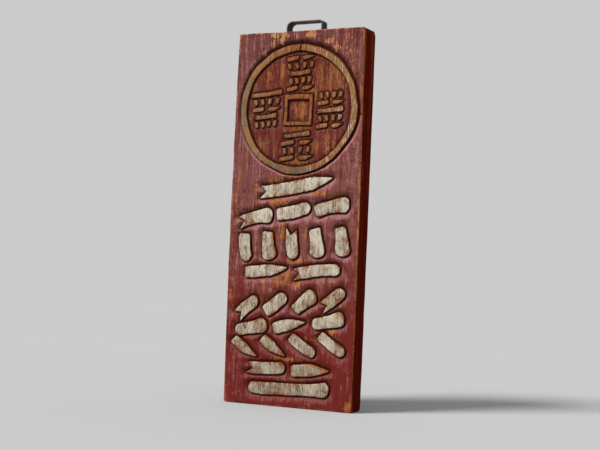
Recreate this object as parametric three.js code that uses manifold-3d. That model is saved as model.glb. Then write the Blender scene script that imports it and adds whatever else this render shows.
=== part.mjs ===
// A carved wooden shop sign: one thick plank with a coin-like ring and rows of brush strokes
// in low relief on its front, and a flat iron strap let into its top edge to hang it by.
//
// Millimetres. X runs to the right as a viewer sees the front, Y runs from the front to the
// back, Z runs up. The origin is the middle of the underside of the strap's top run, the
// place where the sign sits on a peg or a hook.

import * as THREE from 'three';
import { mergeVertices } from 'three/addons/utils/BufferGeometryUtils.js';
import Module from 'manifold-3d';

const wasm = await Module();
wasm.setup();

// The plank
const BOARD_HEIGHT = 600;
const BOARD_THICKNESS = 44;
const FRONT_HALF_WIDTH = { top: 111.5, middle: 114.5, bottom: 113 };
const REAR_HALF_WIDTH = { top: 112.5, middle: 111.5, bottom: 110 };
const REAR_ROUND_TOP = 7;
const REAR_ROUND_BOTTOM = 5;
const REAR_ARRIS = 2.5;
const BOARD_LEVELS = 8;
const ROUND_STEPS = 3;

// The iron strap
const STRAP_WIDTH = 19;
const STRAP_THICKNESS = 2;
const STRAP_HALF_SPAN = 32;
const STRAP_CLEARANCE = 16.5;
const STRAP_LEG_IN_BOARD = 22;
const STRAP_BEND_LEFT = 10;
const STRAP_BEND_RIGHT = 5.5;
const STRAP_BEND_STEPS = 8;
const SLOT_GAP = 0.3;

// Depths of the carving, measured back from the front face
const GROUND_DEPTH = 5;
const DISC_DEPTH = 2.8;
const HOLE_DEPTH = 5;
const SMALL_RELIEF_BELOW_FACE = 0.4;
const FOOTING = 1;
const PAST_FACE = 2;

// How much wider a raised form is at its foot than on top: the knife leaves its walls leaning
const WALL_LEAN = 0.9;

// The ring and the square frame in its middle, from the middle of the plank
const RING_Z = 173.5;
const RING_OUTER_RADIUS = 103.7;
const RING_INNER_RADIUS = 93.2;
const RING_OUTER_GROOVE = { foot: 1.5, rim: 5 };
const RING_INNER_GROOVE = { foot: 1.2, rim: 4 };
const RING_SEGMENTS = 64;
const FRAME = { x: 0.6, z: 171.8, width: 50, height: 50.5 };
const FRAME_HOLE = { x: 0.6, z: 170.6, width: 39, height: 36 };

// The cut ground round a big stroke: how far it reaches at the stroke's foot, and where it has
// sloped back up to the face
const GROUND_MARGIN = { foot: 1.6, rim: 7.5 };

// A stroke thinner than this has come to a point
const POINT_HALF_WIDTH = 0.05;

// Rows of big strokes. A row's strokes are spread evenly from left to right; x and z are the
// middle of a stroke, measured from the middle of the plank; rise is how much the row climbs
// to the right; tilt is a stroke's own lean in degrees, and bend how far it turns on its way.
const BIG_ROWS = [
  { z: 49, left: 5, right: 5, count: 1, rise: 0, length: 126, tilt: 10, width: 20,
    bends: [10], heads: ['split'], tails: ['point'] },
  { z: 9, left: -67, right: 67, count: 3, rise: 0.13, length: 60, tilt: 12, width: 19.5,
    bends: [-20, 16, -22], heads: ['split', 'blunt', 'blunt'], tails: ['foot', 'round', 'foot'] },
  { z: -43, left: -86, right: 86, count: 5, rise: 0.07, length: 46, tilt: -82, width: 20,
    bends: [32, 18, 14, -14, -12], heads: ['blunt', 'blunt', 'split', 'blunt', 'blunt'],
    tails: ['round', 'foot', 'round', 'foot', 'foot'] },
  { z: -85, left: -45, right: 46, count: 2, rise: 0.03, length: 78, tilt: 7, width: 18.5,
    bends: [12, -10], heads: ['blunt', 'split'], tails: ['point', 'round'] },
  { z: -135, left: -76, right: 76, count: 4, rise: 0.11, length: 45, tilt: 38, width: 19.5,
    bends: [-18, 14, -16, 14], heads: ['split', 'blunt', 'blunt', 'split'],
    tails: ['round', 'round', 'foot', 'round'] },
  { z: -170, left: -68, right: 68, count: 3, rise: 0.11, length: 57, tilt: 12, width: 18.5,
    bends: [10, -10, 10], heads: ['round', 'blunt', 'round'], tails: ['foot', 'point', 'foot'] },
  { z: -205, left: -78, right: 75, count: 4, rise: 0.09, length: 51, tilt: -32, width: 16.5,
    bends: [18, 16, 14, 12], heads: ['blunt', 'blunt', 'blunt', 'blunt'],
    tails: ['point', 'point', 'round', 'round'] },
  { z: -240, left: -37, right: 40, count: 2, rise: 0.02, length: 66, tilt: 3, width: 19,
    bends: [8, -10], heads: ['split', 'blunt'], tails: ['round', 'point'] },
  { z: -272, left: 2, right: 2, count: 1, rise: 0, length: 142, tilt: 2, width: 18.5,
    bends: [7], heads: ['round'], tails: ['foot'] },
];
const LONG_STROKE = 60;
const BIG_STEPS = { long: 12, short: 8 };

// The ends of a stroke, as a flat brush leaves them, in stroke widths. A blunt end starts at
// part of the full width, a foot swells before it rounds off, and a point tapers away. A split
// head has a short prong, a notch and a long prong, each placed along and across the stroke.
const ROUND_REACH = 0.5;
const BLUNT_REACH = 0.35;
const BLUNT_START = 0.62;
const FOOT_REACH = 1.8;
const FOOT_SWELL = 0.3;
const POINT_REACH = 1.7;
const POINT_FULLNESS = 0.8;
const SPLIT_REACH = 0.3;
const SPLIT_HEAD = [
  { along: -0.02, across: 0.46 },
  { along: 0.42, across: -0.02 },
  { along: -0.22, across: -0.5 },
];

// Small strokes stand in four blocks round the square frame. A block is a stack of rows, each
// of one long bar, two bars, or four upright dabs, with its half-width.
const SMALL_ROW_PITCH = 12.2;
const SMALL_STROKE_WIDTH = 7;
const SMALL_BEND = 10;
const BAR = { tilt: 6, steps: 6 };
const PAIR = { tilt: 8, place: 0.54, length: 0.84, climb: 0.8, steps: 4 };
const DAB_PLACES = [-0.78, -0.26, 0.26, 0.78];
const DAB = { length: 10.2, climb: 1.6, leftTilt: -74, rightTilt: -100, steps: 4 };
const SMALL_BLOCKS = [
  { x: 2, z: 231, rows: [['pair', 25], ['dabs', 25], ['bar', 18], ['dabs', 21], ['pair', 25]] },
  { x: -57, z: 174, rows: [['bar', 28], ['dabs', 25], ['pair', 26], ['bar', 20], ['dabs', 21]] },
  { x: 57, z: 170, rows: [['dabs', 22], ['pair', 24], ['bar', 23], ['dabs', 22], ['pair', 25]] },
  { x: 0, z: 113, rows: [['bar', 24], ['pair', 29], ['dabs', 26], ['pair', 31]] },
];

const boardMiddleZ = -STRAP_CLEARANCE - BOARD_HEIGHT / 2;
const frontY = -BOARD_THICKNESS / 2;
const rearY = BOARD_THICKNESS / 2;

const woodMaterial = new THREE.MeshStandardMaterial({ color: 0x8d544d, roughness: 0.75, metalness: 0 });
const ironMaterial = new THREE.MeshStandardMaterial({ color: 0x2b201c, roughness: 0.6, metalness: 0.7 });

// A closed solid from its points and its triangles, which face outwards.
function meshSolid(points, faces) {
  const vertProperties = Float32Array.from(points);
  const triVerts = Uint32Array.from(faces);
  return new wasm.Manifold(new wasm.Mesh({ numProp: 3, vertProperties, triVerts }));
}

// A closed three.js geometry as a solid that can be joined and cut.
function toSolid(geometry) {
  const bare = geometry.clone();
  bare.deleteAttribute('normal');
  bare.deleteAttribute('uv');
  const merged = mergeVertices(bare, 1e-4);
  return meshSolid(merged.attributes.position.array, merged.index.array);
}

function toGeometry(solid) {
  const mesh = solid.getMesh();
  const geometry = new THREE.BufferGeometry();
  geometry.setAttribute('position', new THREE.BufferAttribute(Float32Array.from(mesh.vertProperties), 3));
  geometry.setIndex(new THREE.BufferAttribute(Uint32Array.from(mesh.triVerts), 1));
  geometry.computeVertexNormals();
  return geometry;
}

// A solid between two outlines with as many points, anticlockwise as seen from the front.
function tapered(near, far, nearY, farY) {
  const count = near.length;
  const points = [];
  const faces = [];
  for (const [outline, y] of [[near, nearY], [far, farY]]) {
    for (const [x, z] of outline) {
      points.push(x, y, z);
    }
  }
  const fill = (outline) => {
    const corners = outline.map(([x, z]) => new THREE.Vector2(x, z));
    return THREE.ShapeUtils.triangulateShape(corners, []);
  };
  for (const [a, b, c] of fill(near)) {
    faces.push(a, b, c);
  }
  for (const [a, b, c] of fill(far)) {
    faces.push(count + a, count + c, count + b);
  }
  for (let i = 0; i < count; i += 1) {
    const next = (i + 1) % count;
    faces.push(i, count + i, count + next, i, count + next, next);
  }
  return meshSolid(points, faces);
}

function smoothStep(value) {
  const t = Math.min(1, Math.max(0, value));
  return t * t * (3 - 2 * t);
}

// Half-width of the plank at a height: a shallow hand-planed bow through three widths.
function halfWidthAt(widths, z) {
  const u = (2 * z) / BOARD_HEIGHT;
  const slope = (widths.top - widths.bottom) / 2;
  const bow = (widths.top + widths.bottom) / 2 - widths.middle;
  return widths.middle + slope * u + bow * u * u;
}

// How far the back has rounded forward at a height near the top or bottom edge.
function rearSetback(z) {
  const fromTop = BOARD_HEIGHT / 2 - z;
  const fromBottom = BOARD_HEIGHT / 2 + z;
  const arc = (distance, radius) => {
    const inside = Math.max(0, radius - distance);
    return radius - Math.sqrt(radius * radius - inside * inside);
  };
  return arc(fromTop, REAR_ROUND_TOP) + arc(fromBottom, REAR_ROUND_BOTTOM);
}

// The heights of the plank's sections: close together where the back rounds over, even between.
function boardLevels() {
  const levels = [];
  const low = -BOARD_HEIGHT / 2;
  const high = BOARD_HEIGHT / 2;
  for (let i = 0; i < ROUND_STEPS; i += 1) {
    levels.push(low + REAR_ROUND_BOTTOM * (1 - Math.cos((i / ROUND_STEPS) * (Math.PI / 2))));
  }
  const straightLow = low + REAR_ROUND_BOTTOM;
  const straightHigh = high - REAR_ROUND_TOP;
  for (let i = 0; i <= BOARD_LEVELS; i += 1) {
    levels.push(straightLow + ((straightHigh - straightLow) * i) / BOARD_LEVELS);
  }
  for (let i = 1; i <= ROUND_STEPS; i += 1) {
    levels.push(straightHigh + REAR_ROUND_TOP * Math.sin((i / ROUND_STEPS) * (Math.PI / 2)));
  }
  return levels;
}

// The plank's outline at a height, anticlockwise as seen from above.
function boardSection(z) {
  const front = halfWidthAt(FRONT_HALF_WIDTH, z);
  const rear = halfWidthAt(REAR_HALF_WIDTH, z);
  const back = rearY - rearSetback(z);
  return [
    [-front, frontY],
    [front, frontY],
    [rear, back - REAR_ARRIS],
    [rear - REAR_ARRIS, back],
    [-rear + REAR_ARRIS, back],
    [-rear, back - REAR_ARRIS],
  ];
}

// The plank before it is carved, a skin over its sections.
function boardBlank() {
  const levels = boardLevels();
  const points = [];
  const faces = [];
  const corners = boardSection(0).length;
  for (const z of levels) {
    for (const [x, y] of boardSection(z)) {
      points.push(x, y, z);
    }
  }
  for (let level = 0; level < levels.length - 1; level += 1) {
    for (let i = 0; i < corners; i += 1) {
      const a = level * corners + i;
      const b = level * corners + ((i + 1) % corners);
      faces.push(a, b, b + corners, a, b + corners, a + corners);
    }
  }
  const topStart = (levels.length - 1) * corners;
  for (let i = 1; i < corners - 1; i += 1) {
    faces.push(0, i + 1, i);
    faces.push(topStart, topStart + i, topStart + i + 1);
  }
  return meshSolid(points, faces);
}

// How much of its half-width a stroke keeps at a distance from one of its ends.
function endShape(kind, distance, width) {
  const arc = (reach) => {
    const inside = 1 - Math.min(1, distance / reach);
    return Math.sqrt(Math.max(0, 1 - inside * inside));
  };
  if (kind === 'round') {
    return arc(width * ROUND_REACH);
  }
  if (kind === 'point') {
    return Math.min(1, distance / (width * POINT_REACH)) ** POINT_FULLNESS;
  }
  if (kind === 'blunt') {
    return BLUNT_START + (1 - BLUNT_START) * arc(width * BLUNT_REACH);
  }
  if (kind === 'foot') {
    const swell = 1 + FOOT_SWELL * smoothStep(1 - distance / (width * FOOT_REACH));
    return swell * arc(width * ROUND_REACH);
  }
  return 1;
}

// The middle line of a stroke: it starts with its lean and turns by bend on the way.
function strokeSpine(stroke, length) {
  const spine = [];
  let x = 0;
  let z = 0;
  let travelled = 0;
  let angle = 0;
  for (let i = 0; i <= stroke.steps; i += 1) {
    const share = (1 - Math.cos((Math.PI * i) / stroke.steps)) / 2;
    const nextAngle = THREE.MathUtils.degToRad(stroke.tilt + stroke.bend * (share - 0.5));
    const step = share * length - travelled;
    if (i > 0) {
      x += step * Math.cos((angle + nextAngle) / 2);
      z += step * Math.sin((angle + nextAngle) / 2);
    }
    angle = nextAngle;
    travelled += step;
    spine.push({ x, z, angle, travelled, share });
  }
  const middle = spine[stroke.steps / 2];
  return spine.map((p) => ({
    ...p,
    x: p.x - middle.x + stroke.x,
    z: p.z - middle.z + stroke.z,
  }));
}

// The points of a split head: its short prong, its notch and its long prong.
function splitHead(start, width) {
  const cos = Math.cos(start.angle) * width;
  const sin = Math.sin(start.angle) * width;
  return SPLIT_HEAD.map(({ along, across }) => [
    start.x + cos * along - sin * across,
    start.z + sin * along + cos * across,
  ]);
}

// A stroke's outline grown by a margin all round, anticlockwise: along its lower side and back
// along its upper side. It has as many points at any margin.
function strokeOutline(stroke, margin) {
  const length = stroke.length + 2 * margin;
  const width = stroke.width + 2 * margin;
  const spine = strokeSpine(stroke, length);
  const split = stroke.head === 'split';
  const bodyStart = split ? (SPLIT_REACH * stroke.width) / stroke.length : 0;
  const upper = [];
  const lower = [];
  for (const p of spine) {
    if (p.share < bodyStart) {
      continue;
    }
    const half = (width / 2) * endShape(stroke.head, p.travelled, width)
      * endShape(stroke.tail, length - p.travelled, width);
    const acrossX = -Math.sin(p.angle) * half;
    const acrossZ = Math.cos(p.angle) * half;
    lower.push([p.x - acrossX, p.z - acrossZ]);
    if (half > POINT_HALF_WIDTH) {
      upper.push([p.x + acrossX, p.z + acrossZ]);
    }
  }
  return [...lower, ...upper.reverse(), ...(split ? splitHead(spine[0], width) : [])];
}

// A raised stroke, its walls leaning out to its foot.
function raisedStroke(stroke, topY, footY) {
  return tapered(strokeOutline(stroke, 0), strokeOutline(stroke, WALL_LEAN), topY, footY);
}

// The ground cut away beside a stroke: narrow at the stroke's foot, wide where it meets the
// face, and carried on past the face so that the cut is clean.
function groundPocket(stroke) {
  const whole = { ...stroke, head: stroke.head === 'split' ? 'blunt' : stroke.head };
  const near = strokeOutline(whole, marginPastFace(GROUND_MARGIN));
  const far = strokeOutline(whole, GROUND_MARGIN.foot);
  return tapered(near, far, frontY - PAST_FACE, frontY + GROUND_DEPTH);
}

function bigStrokes() {
  const strokes = [];
  for (const row of BIG_ROWS) {
    for (let i = 0; i < row.count; i += 1) {
      const share = row.count > 1 ? i / (row.count - 1) : 0;
      const x = row.left + (row.right - row.left) * share;
      strokes.push({
        x,
        z: row.z + row.rise * x,
        length: row.length,
        tilt: row.tilt,
        width: row.width,
        bend: row.bends[i],
        head: row.heads[i],
        tail: row.tails[i],
        steps: row.length > LONG_STROKE ? BIG_STEPS.long : BIG_STEPS.short,
      });
    }
  }
  return strokes;
}

// One row of a small block, as strokes about the block's middle line.
function smallRow(kind, half, x, z) {
  const common = { width: SMALL_STROKE_WIDTH, bend: SMALL_BEND };
  if (kind === 'bar') {
    return [{ ...common, ...BAR, x, z, length: 2 * half, head: 'split', tail: 'foot' }];
  }
  if (kind === 'pair') {
    return [-1, 1].map((side) => ({
      ...common,
      x: x + side * half * PAIR.place,
      z: z + side * PAIR.climb,
      length: half * PAIR.length,
      tilt: PAIR.tilt,
      steps: PAIR.steps,
      head: side < 0 ? 'blunt' : 'round',
      tail: side < 0 ? 'round' : 'point',
    }));
  }
  return DAB_PLACES.map((place) => ({
    ...common,
    x: x + place * half,
    z: z + place * DAB.climb,
    length: DAB.length,
    tilt: place < 0 ? DAB.leftTilt : DAB.rightTilt,
    steps: DAB.steps,
    head: 'blunt',
    tail: 'round',
  }));
}

function smallStrokes() {
  const strokes = [];
  for (const block of SMALL_BLOCKS) {
    block.rows.forEach(([kind, half], index) => {
      const z = block.z + SMALL_ROW_PITCH * ((block.rows.length - 1) / 2 - index);
      strokes.push(...smallRow(kind, half, block.x, z));
    });
  }
  return strokes;
}

function circleOutline(radius) {
  const outline = [];
  for (let i = 0; i < RING_SEGMENTS; i += 1) {
    const angle = (2 * Math.PI * i) / RING_SEGMENTS;
    outline.push([radius * Math.cos(angle), RING_Z + radius * Math.sin(angle)]);
  }
  return outline;
}

// How far a sloping side has spread where it is carried on past the face.
function marginPastFace(margin) {
  return margin.rim + ((margin.rim - margin.foot) * PAST_FACE) / GROUND_DEPTH;
}

function rectangleOutline({ x, z, width, height }, margin) {
  const halfX = width / 2 + margin;
  const halfZ = height / 2 + margin;
  return [
    [x - halfX, z - halfZ],
    [x + halfX, z - halfZ],
    [x + halfX, z + halfZ],
    [x - halfX, z + halfZ],
  ];
}

// The strap's bent outline in X and Z: up the left leg, over the top and down the right leg.
// The underside of its top run is at z = 0.
function strapShape() {
  const outer = STRAP_HALF_SPAN;
  const inner = STRAP_HALF_SPAN - STRAP_THICKNESS;
  const top = STRAP_THICKNESS;
  const foot = -STRAP_CLEARANCE - STRAP_LEG_IN_BOARD;
  const leftInside = STRAP_BEND_LEFT - STRAP_THICKNESS;
  const rightInside = STRAP_BEND_RIGHT - STRAP_THICKNESS;
  const leftBendX = -outer + STRAP_BEND_LEFT;
  const rightBendX = outer - STRAP_BEND_RIGHT;
  const quarter = Math.PI / 2;
  const shape = new THREE.Shape();
  shape.moveTo(-outer, foot);
  shape.lineTo(-inner, foot);
  shape.lineTo(-inner, -leftInside);
  shape.absarc(leftBendX, -leftInside, leftInside, 2 * quarter, quarter, true);
  shape.lineTo(rightBendX, 0);
  shape.absarc(rightBendX, -rightInside, rightInside, quarter, 0, true);
  shape.lineTo(inner, foot);
  shape.lineTo(outer, foot);
  shape.lineTo(outer, top - STRAP_BEND_RIGHT);
  shape.absarc(rightBendX, top - STRAP_BEND_RIGHT, STRAP_BEND_RIGHT, 0, quarter, false);
  shape.lineTo(leftBendX, top);
  shape.absarc(leftBendX, top - STRAP_BEND_LEFT, STRAP_BEND_LEFT, quarter, 2 * quarter, false);
  shape.closePath();
  return shape;
}

function strapGeometry() {
  const geometry = new THREE.ExtrudeGeometry(strapShape(), {
    depth: STRAP_WIDTH,
    bevelEnabled: false,
    curveSegments: STRAP_BEND_STEPS,
  });
  geometry.rotateX(Math.PI / 2);
  geometry.translate(0, STRAP_WIDTH / 2, 0);
  return toGeometry(toSolid(geometry));
}

function carvedBoard() {
  const cutFrom = frontY - PAST_FACE;
  const ground = frontY + GROUND_DEPTH;
  const discFloor = frontY + DISC_DEPTH;
  const smallTop = frontY + SMALL_RELIEF_BELOW_FACE;
  const foot = ground + FOOTING;
  const big = bigStrokes();

  let cuts = tapered(
    circleOutline(RING_OUTER_RADIUS + marginPastFace(RING_OUTER_GROOVE)),
    circleOutline(RING_OUTER_RADIUS + RING_OUTER_GROOVE.foot),
    cutFrom,
    ground,
  );
  for (const stroke of big) {
    cuts = cuts.add(groundPocket(stroke));
  }
  let board = boardBlank().subtract(cuts);

  const disc = tapered(
    circleOutline(RING_INNER_RADIUS - RING_INNER_GROOVE.rim),
    circleOutline(RING_INNER_RADIUS - RING_INNER_GROOVE.foot),
    discFloor,
    ground,
  );
  const ring = tapered(
    circleOutline(RING_OUTER_RADIUS),
    circleOutline(RING_OUTER_RADIUS + WALL_LEAN),
    frontY,
    foot,
  );
  const ringInside = tapered(
    circleOutline(RING_INNER_RADIUS),
    circleOutline(RING_INNER_RADIUS - WALL_LEAN),
    frontY,
    ground,
  );
  board = board.add(ring).subtract(ringInside).add(disc);
  for (const stroke of big) {
    board = board.add(raisedStroke(stroke, frontY, foot));
  }
  for (const stroke of smallStrokes()) {
    board = board.add(raisedStroke(stroke, smallTop, foot));
  }
  const frame = tapered(rectangleOutline(FRAME, 0), rectangleOutline(FRAME, WALL_LEAN), smallTop, foot);
  const frameHole = tapered(
    rectangleOutline(FRAME_HOLE, 0),
    rectangleOutline(FRAME_HOLE, -WALL_LEAN),
    smallTop,
    frontY + HOLE_DEPTH,
  );
  board = board.add(frame).subtract(frameHole);

  // The two slots in the top edge for the strap's legs, each with a little play all round.
  const slotHalf = STRAP_WIDTH / 2 + SLOT_GAP;
  const slotFoot = BOARD_HEIGHT / 2 - STRAP_LEG_IN_BOARD;
  const slotHead = BOARD_HEIGHT / 2 + PAST_FACE;
  for (const side of [-1, 1]) {
    const slot = {
      x: side * (STRAP_HALF_SPAN - STRAP_THICKNESS / 2),
      z: (slotFoot + slotHead) / 2,
      width: STRAP_THICKNESS,
      height: slotHead - slotFoot,
    };
    const outline = rectangleOutline(slot, SLOT_GAP);
    board = board.subtract(tapered(outline, outline, -slotHalf, slotHalf));
  }
  return toGeometry(board);
}

const board = new THREE.Mesh(carvedBoard(), woodMaterial);
board.name = 'sign_board';
board.position.z = boardMiddleZ;

const hanger = new THREE.Mesh(strapGeometry(), ironMaterial);
hanger.name = 'iron_hanger';

const sign = new THREE.Group();
sign.add(board, hanger);

export default sign;
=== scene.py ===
"""A carved and painted plank sign, its iron strap, and the plain stage it is seen on.

The plank's face is carved in relief: a ring with a square frame, four blocks of small gilded
strokes inside it, and rows of big cream strokes below. Carving sizes are in millimetres from
the middle of the plank, X to the right and Z up, and a height is how far the wood stands out
of the uncut face. Everything else is in metres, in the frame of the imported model.
"""

import math
from types import SimpleNamespace

import bpy
import numpy as np
from mathutils import Matrix, Vector
from mathutils.geometry import delaunay_2d_cdt


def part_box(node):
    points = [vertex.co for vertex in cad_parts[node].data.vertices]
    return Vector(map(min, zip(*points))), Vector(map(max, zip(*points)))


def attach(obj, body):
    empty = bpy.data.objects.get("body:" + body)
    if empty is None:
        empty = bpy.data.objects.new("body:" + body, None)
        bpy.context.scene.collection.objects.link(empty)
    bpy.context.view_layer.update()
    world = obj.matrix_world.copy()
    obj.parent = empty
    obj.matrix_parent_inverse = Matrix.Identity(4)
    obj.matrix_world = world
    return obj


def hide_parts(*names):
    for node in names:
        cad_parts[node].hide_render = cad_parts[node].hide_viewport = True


bl_info = {
    "name": "Carved Shop Sign",
    "version": (1, 0, 0),
    "blender": (4, 5, 0),
    "location": "3D View > Sidebar > Shop Sign",
    "description": "A carved and painted plank sign with its iron strap, on a plain stage",
    "category": "Object",
}

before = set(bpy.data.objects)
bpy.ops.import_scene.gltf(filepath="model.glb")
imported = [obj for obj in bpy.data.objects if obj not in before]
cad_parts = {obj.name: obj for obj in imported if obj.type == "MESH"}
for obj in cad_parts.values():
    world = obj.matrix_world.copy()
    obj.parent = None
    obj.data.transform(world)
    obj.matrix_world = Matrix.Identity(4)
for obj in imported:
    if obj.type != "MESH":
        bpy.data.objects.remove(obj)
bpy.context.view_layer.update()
BOARD_LOW, BOARD_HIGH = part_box("sign_board")
IRON_LOW, IRON_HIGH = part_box("iron_hanger")

MM = 0.001
BOARD_HEIGHT = (BOARD_HIGH.z - BOARD_LOW.z) / MM
HALF_HEIGHT = BOARD_HEIGHT / 2
BOARD_THICKNESS = (BOARD_HIGH.y - BOARD_LOW.y) / MM
BOARD_MIDDLE_Z = (BOARD_HIGH.z + BOARD_LOW.z) / 2

# Half-widths of the plank at its top, middle and bottom, on its face and at its back.
FACE_HALF_WIDTH = (111.5, 114.5, 113.0)
BACK_HALF_WIDTH = (112.5, 111.5, 110.0)

# The ring, the square frame in its middle and the hole in the frame.
RING_Z = 173.5
RING_OUTER_RADIUS = 103.7
RING_INNER_RADIUS = 93.2
FRAME_BOX = {"x": 0.6, "z": 171.8, "width": 50.0, "height": 50.5}
FRAME_HOLE = {"x": 0.6, "z": 170.6, "width": 39.0, "height": 36.0}

# The groove outside the ring is widest in this direction, and narrowest opposite.
GROOVE_WIDEST = math.radians(35)
GROOVE_SWELL = 0.42

# Rows of big strokes. A row's strokes are spread evenly from left to right; x and z are the
# middle of a stroke; rise is how much the row climbs to the right; tilt is a stroke's own
# lean in degrees, and bend how far it turns on its way.
BIG_ROWS = (
    dict(z=49, left=5, right=5, count=1, rise=0, length=126, tilt=10, width=20,
         bends=(10,), heads=("split",), tails=("point",)),
    dict(z=9, left=-67, right=67, count=3, rise=0.13, length=60, tilt=12, width=19.5,
         bends=(-20, 16, -22), heads=("split", "blunt", "blunt"), tails=("foot", "round", "foot")),
    dict(z=-43, left=-86, right=86, count=5, rise=0.07, length=46, tilt=-82, width=20,
         bends=(32, 18, 14, -14, -12), heads=("blunt", "blunt", "split", "blunt", "blunt"),
         tails=("round", "foot", "round", "foot", "foot")),
    dict(z=-85, left=-45, right=46, count=2, rise=0.03, length=78, tilt=7, width=18.5,
         bends=(12, -10), heads=("blunt", "split"), tails=("point", "round")),
    dict(z=-135, left=-76, right=76, count=4, rise=0.11, length=45, tilt=38, width=19.5,
         bends=(-18, 14, -16, 14), heads=("split", "blunt", "blunt", "split"),
         tails=("round", "round", "foot", "round")),
    dict(z=-170, left=-68, right=68, count=3, rise=0.11, length=57, tilt=12, width=18.5,
         bends=(10, -10, 10), heads=("round", "blunt", "round"), tails=("foot", "point", "foot")),
    dict(z=-205, left=-78, right=75, count=4, rise=0.09, length=51, tilt=-32, width=16.5,
         bends=(18, 16, 14, 12), heads=("blunt",) * 4, tails=("point", "point", "round", "round")),
    dict(z=-240, left=-37, right=40, count=2, rise=0.02, length=66, tilt=3, width=19,
         bends=(8, -10), heads=("split", "blunt"), tails=("round", "point")),
    dict(z=-272, left=2, right=2, count=1, rise=0, length=142, tilt=2, width=18.5,
         bends=(7,), heads=("round",), tails=("foot",)),
)

# Small strokes stand in four blocks round the square frame. A block is a stack of rows, each
# of one long bar, two bars, or four upright dabs, with its half-width.
SMALL_ROW_PITCH = 12.2
SMALL_STROKE_WIDTH = 7.0
SMALL_STROKE_STEPS = 16
SMALL_BEND = 10
BAR_TILT = 6
PAIR = {"tilt": 8, "place": 0.54, "length": 0.84, "climb": 0.8}
DAB_PLACES = (-0.78, -0.26, 0.26, 0.78)
DAB = {"length": 10.2, "climb": 1.6, "left_tilt": -74, "right_tilt": -100}
SMALL_BLOCKS = (
    (2, 231, (("pair", 25), ("dabs", 25), ("bar", 18), ("dabs", 21), ("pair", 25))),
    (-57, 174, (("bar", 28), ("dabs", 25), ("pair", 26), ("bar", 20), ("dabs", 21))),
    (57, 170, (("dabs", 22), ("pair", 24), ("bar", 23), ("dabs", 22), ("pair", 25))),
    (0, 113, (("bar", 24), ("pair", 29), ("dabs", 26), ("pair", 31))),
)

# The ends of a stroke, as a flat brush leaves them, in stroke widths.
ROUND_REACH = 0.5
BLUNT_REACH = 0.35
BLUNT_START = 0.62
FOOT_REACH = 1.8
FOOT_SWELL = 0.3
POINT_REACH = 1.7
POINT_FULLNESS = 0.8
SPLIT_REACH = 0.3
SPLIT_HEAD = ((-0.02, 0.46), (0.42, -0.02), (-0.22, -0.5))

# How deep the wood is cut at a distance from the edge of what is raised there. Each profile
# starts at the form's worn edge, drops to the knife cut at its foot and comes up again.
GROUND = {
    "big": ((0.0, 0.5), (0.9, 4.6), (2.0, 3.9), (3.4, 2.7), (5.6, 1.6), (8.6, 0.6), (11.5, 0.0)),
    "ring": ((0.0, 0.5), (0.9, 4.8), (2.8, 4.0), (4.8, 1.3), (6.8, 0.0)),
    "disc": ((0.0, 0.5), (0.9, 4.3), (2.0, 3.3), (4.2, 2.5), (7.0, 2.2)),
    "small": ((0.0, 0.9), (0.8, 3.7), (1.7, 2.9), (3.2, 2.3), (5.0, 2.2)),
    "hole": ((0.0, 0.9), (1.0, 4.9), (2.6, 4.2), (7.0, 3.6)),
}

# How far below the face the raised tops are at a distance inside the edge.
SMALL_TOP = ((0.0, 0.9), (0.6, 0.55), (1.6, 0.4), (3.0, 0.35))
TOPS = {
    "big": ((0.0, 0.5), (0.6, 0.18), (1.8, 0.0), (5.0, -0.25)),
    "small": SMALL_TOP,
    "frame": SMALL_TOP,
    "ring": ((0.0, 0.5), (0.6, 0.2), (1.8, 0.02), (4.0, -0.1)),
}

# How dark the cuts are at a distance from a raised edge, from 1 to 0: the stained knife line
# at its foot, and dirt with painted shade further out, round the raised forms and over the sunk disc.
KNIFE_LINE = ((0.0, 1.0), (1.0, 1.0), (2.4, 0.0))
FINE_LINE = ((0.0, 1.0), (0.9, 1.0), (2.1, 0.0))
LINE = {
    "big": KNIFE_LINE, "ring": ((0.0, 1.0), (2.2, 1.0), (4.0, 0.0)), "disc": KNIFE_LINE,
    "small": FINE_LINE, "hole": FINE_LINE,
}
DISC_GRIME_AND_SHADE = ((1.0, 1.0), (5.0, 0.55))
GRIME_AND_SHADE = {
    "big": ((1.5, 1.0), (4.0, 0.45), (9.0, 0.0)), "ring": ((1.0, 1.0), (5.0, 0.0)),
    "disc": DISC_GRIME_AND_SHADE, "small": DISC_GRIME_AND_SHADE, "hole": DISC_GRIME_AND_SHADE,
}

# How far hand work strays: the size of a bend and its reach, for the edges of the carving.
EDGE_WANDER = ((5.5, 0.30), (15.0, 0.50), (45.0, 0.70))
RING_WANDER = ((7.0, 0.25), (21.0, 0.80), (48.0, 0.90))
RING_SEED = 71
DISC_SEED = 81

# Unevenness of the wood, in layers of height, width and length of the marks, and seed: the
# chiselled ground, the planed face, its grain, and the planed back. Wood counts as cut from a
# depth of CUT_START on, and fully so another CUT_FADE deeper.
CHISELLED = ((0.22, 4.5, 7.0, 21), (0.12, 2.6, 5.0, 22))
PLANED = ((0.22, 38, 120, 23), (0.07, 3.1, 60, 24))
GRAINED = ((0.07, 1.9, 26, 25),)
BACK_PLANED = ((0.22, 34, 150, 51), (0.06, 60, 6, 52))
CUT_START = 0.4
CUT_FADE = 1.5

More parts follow.
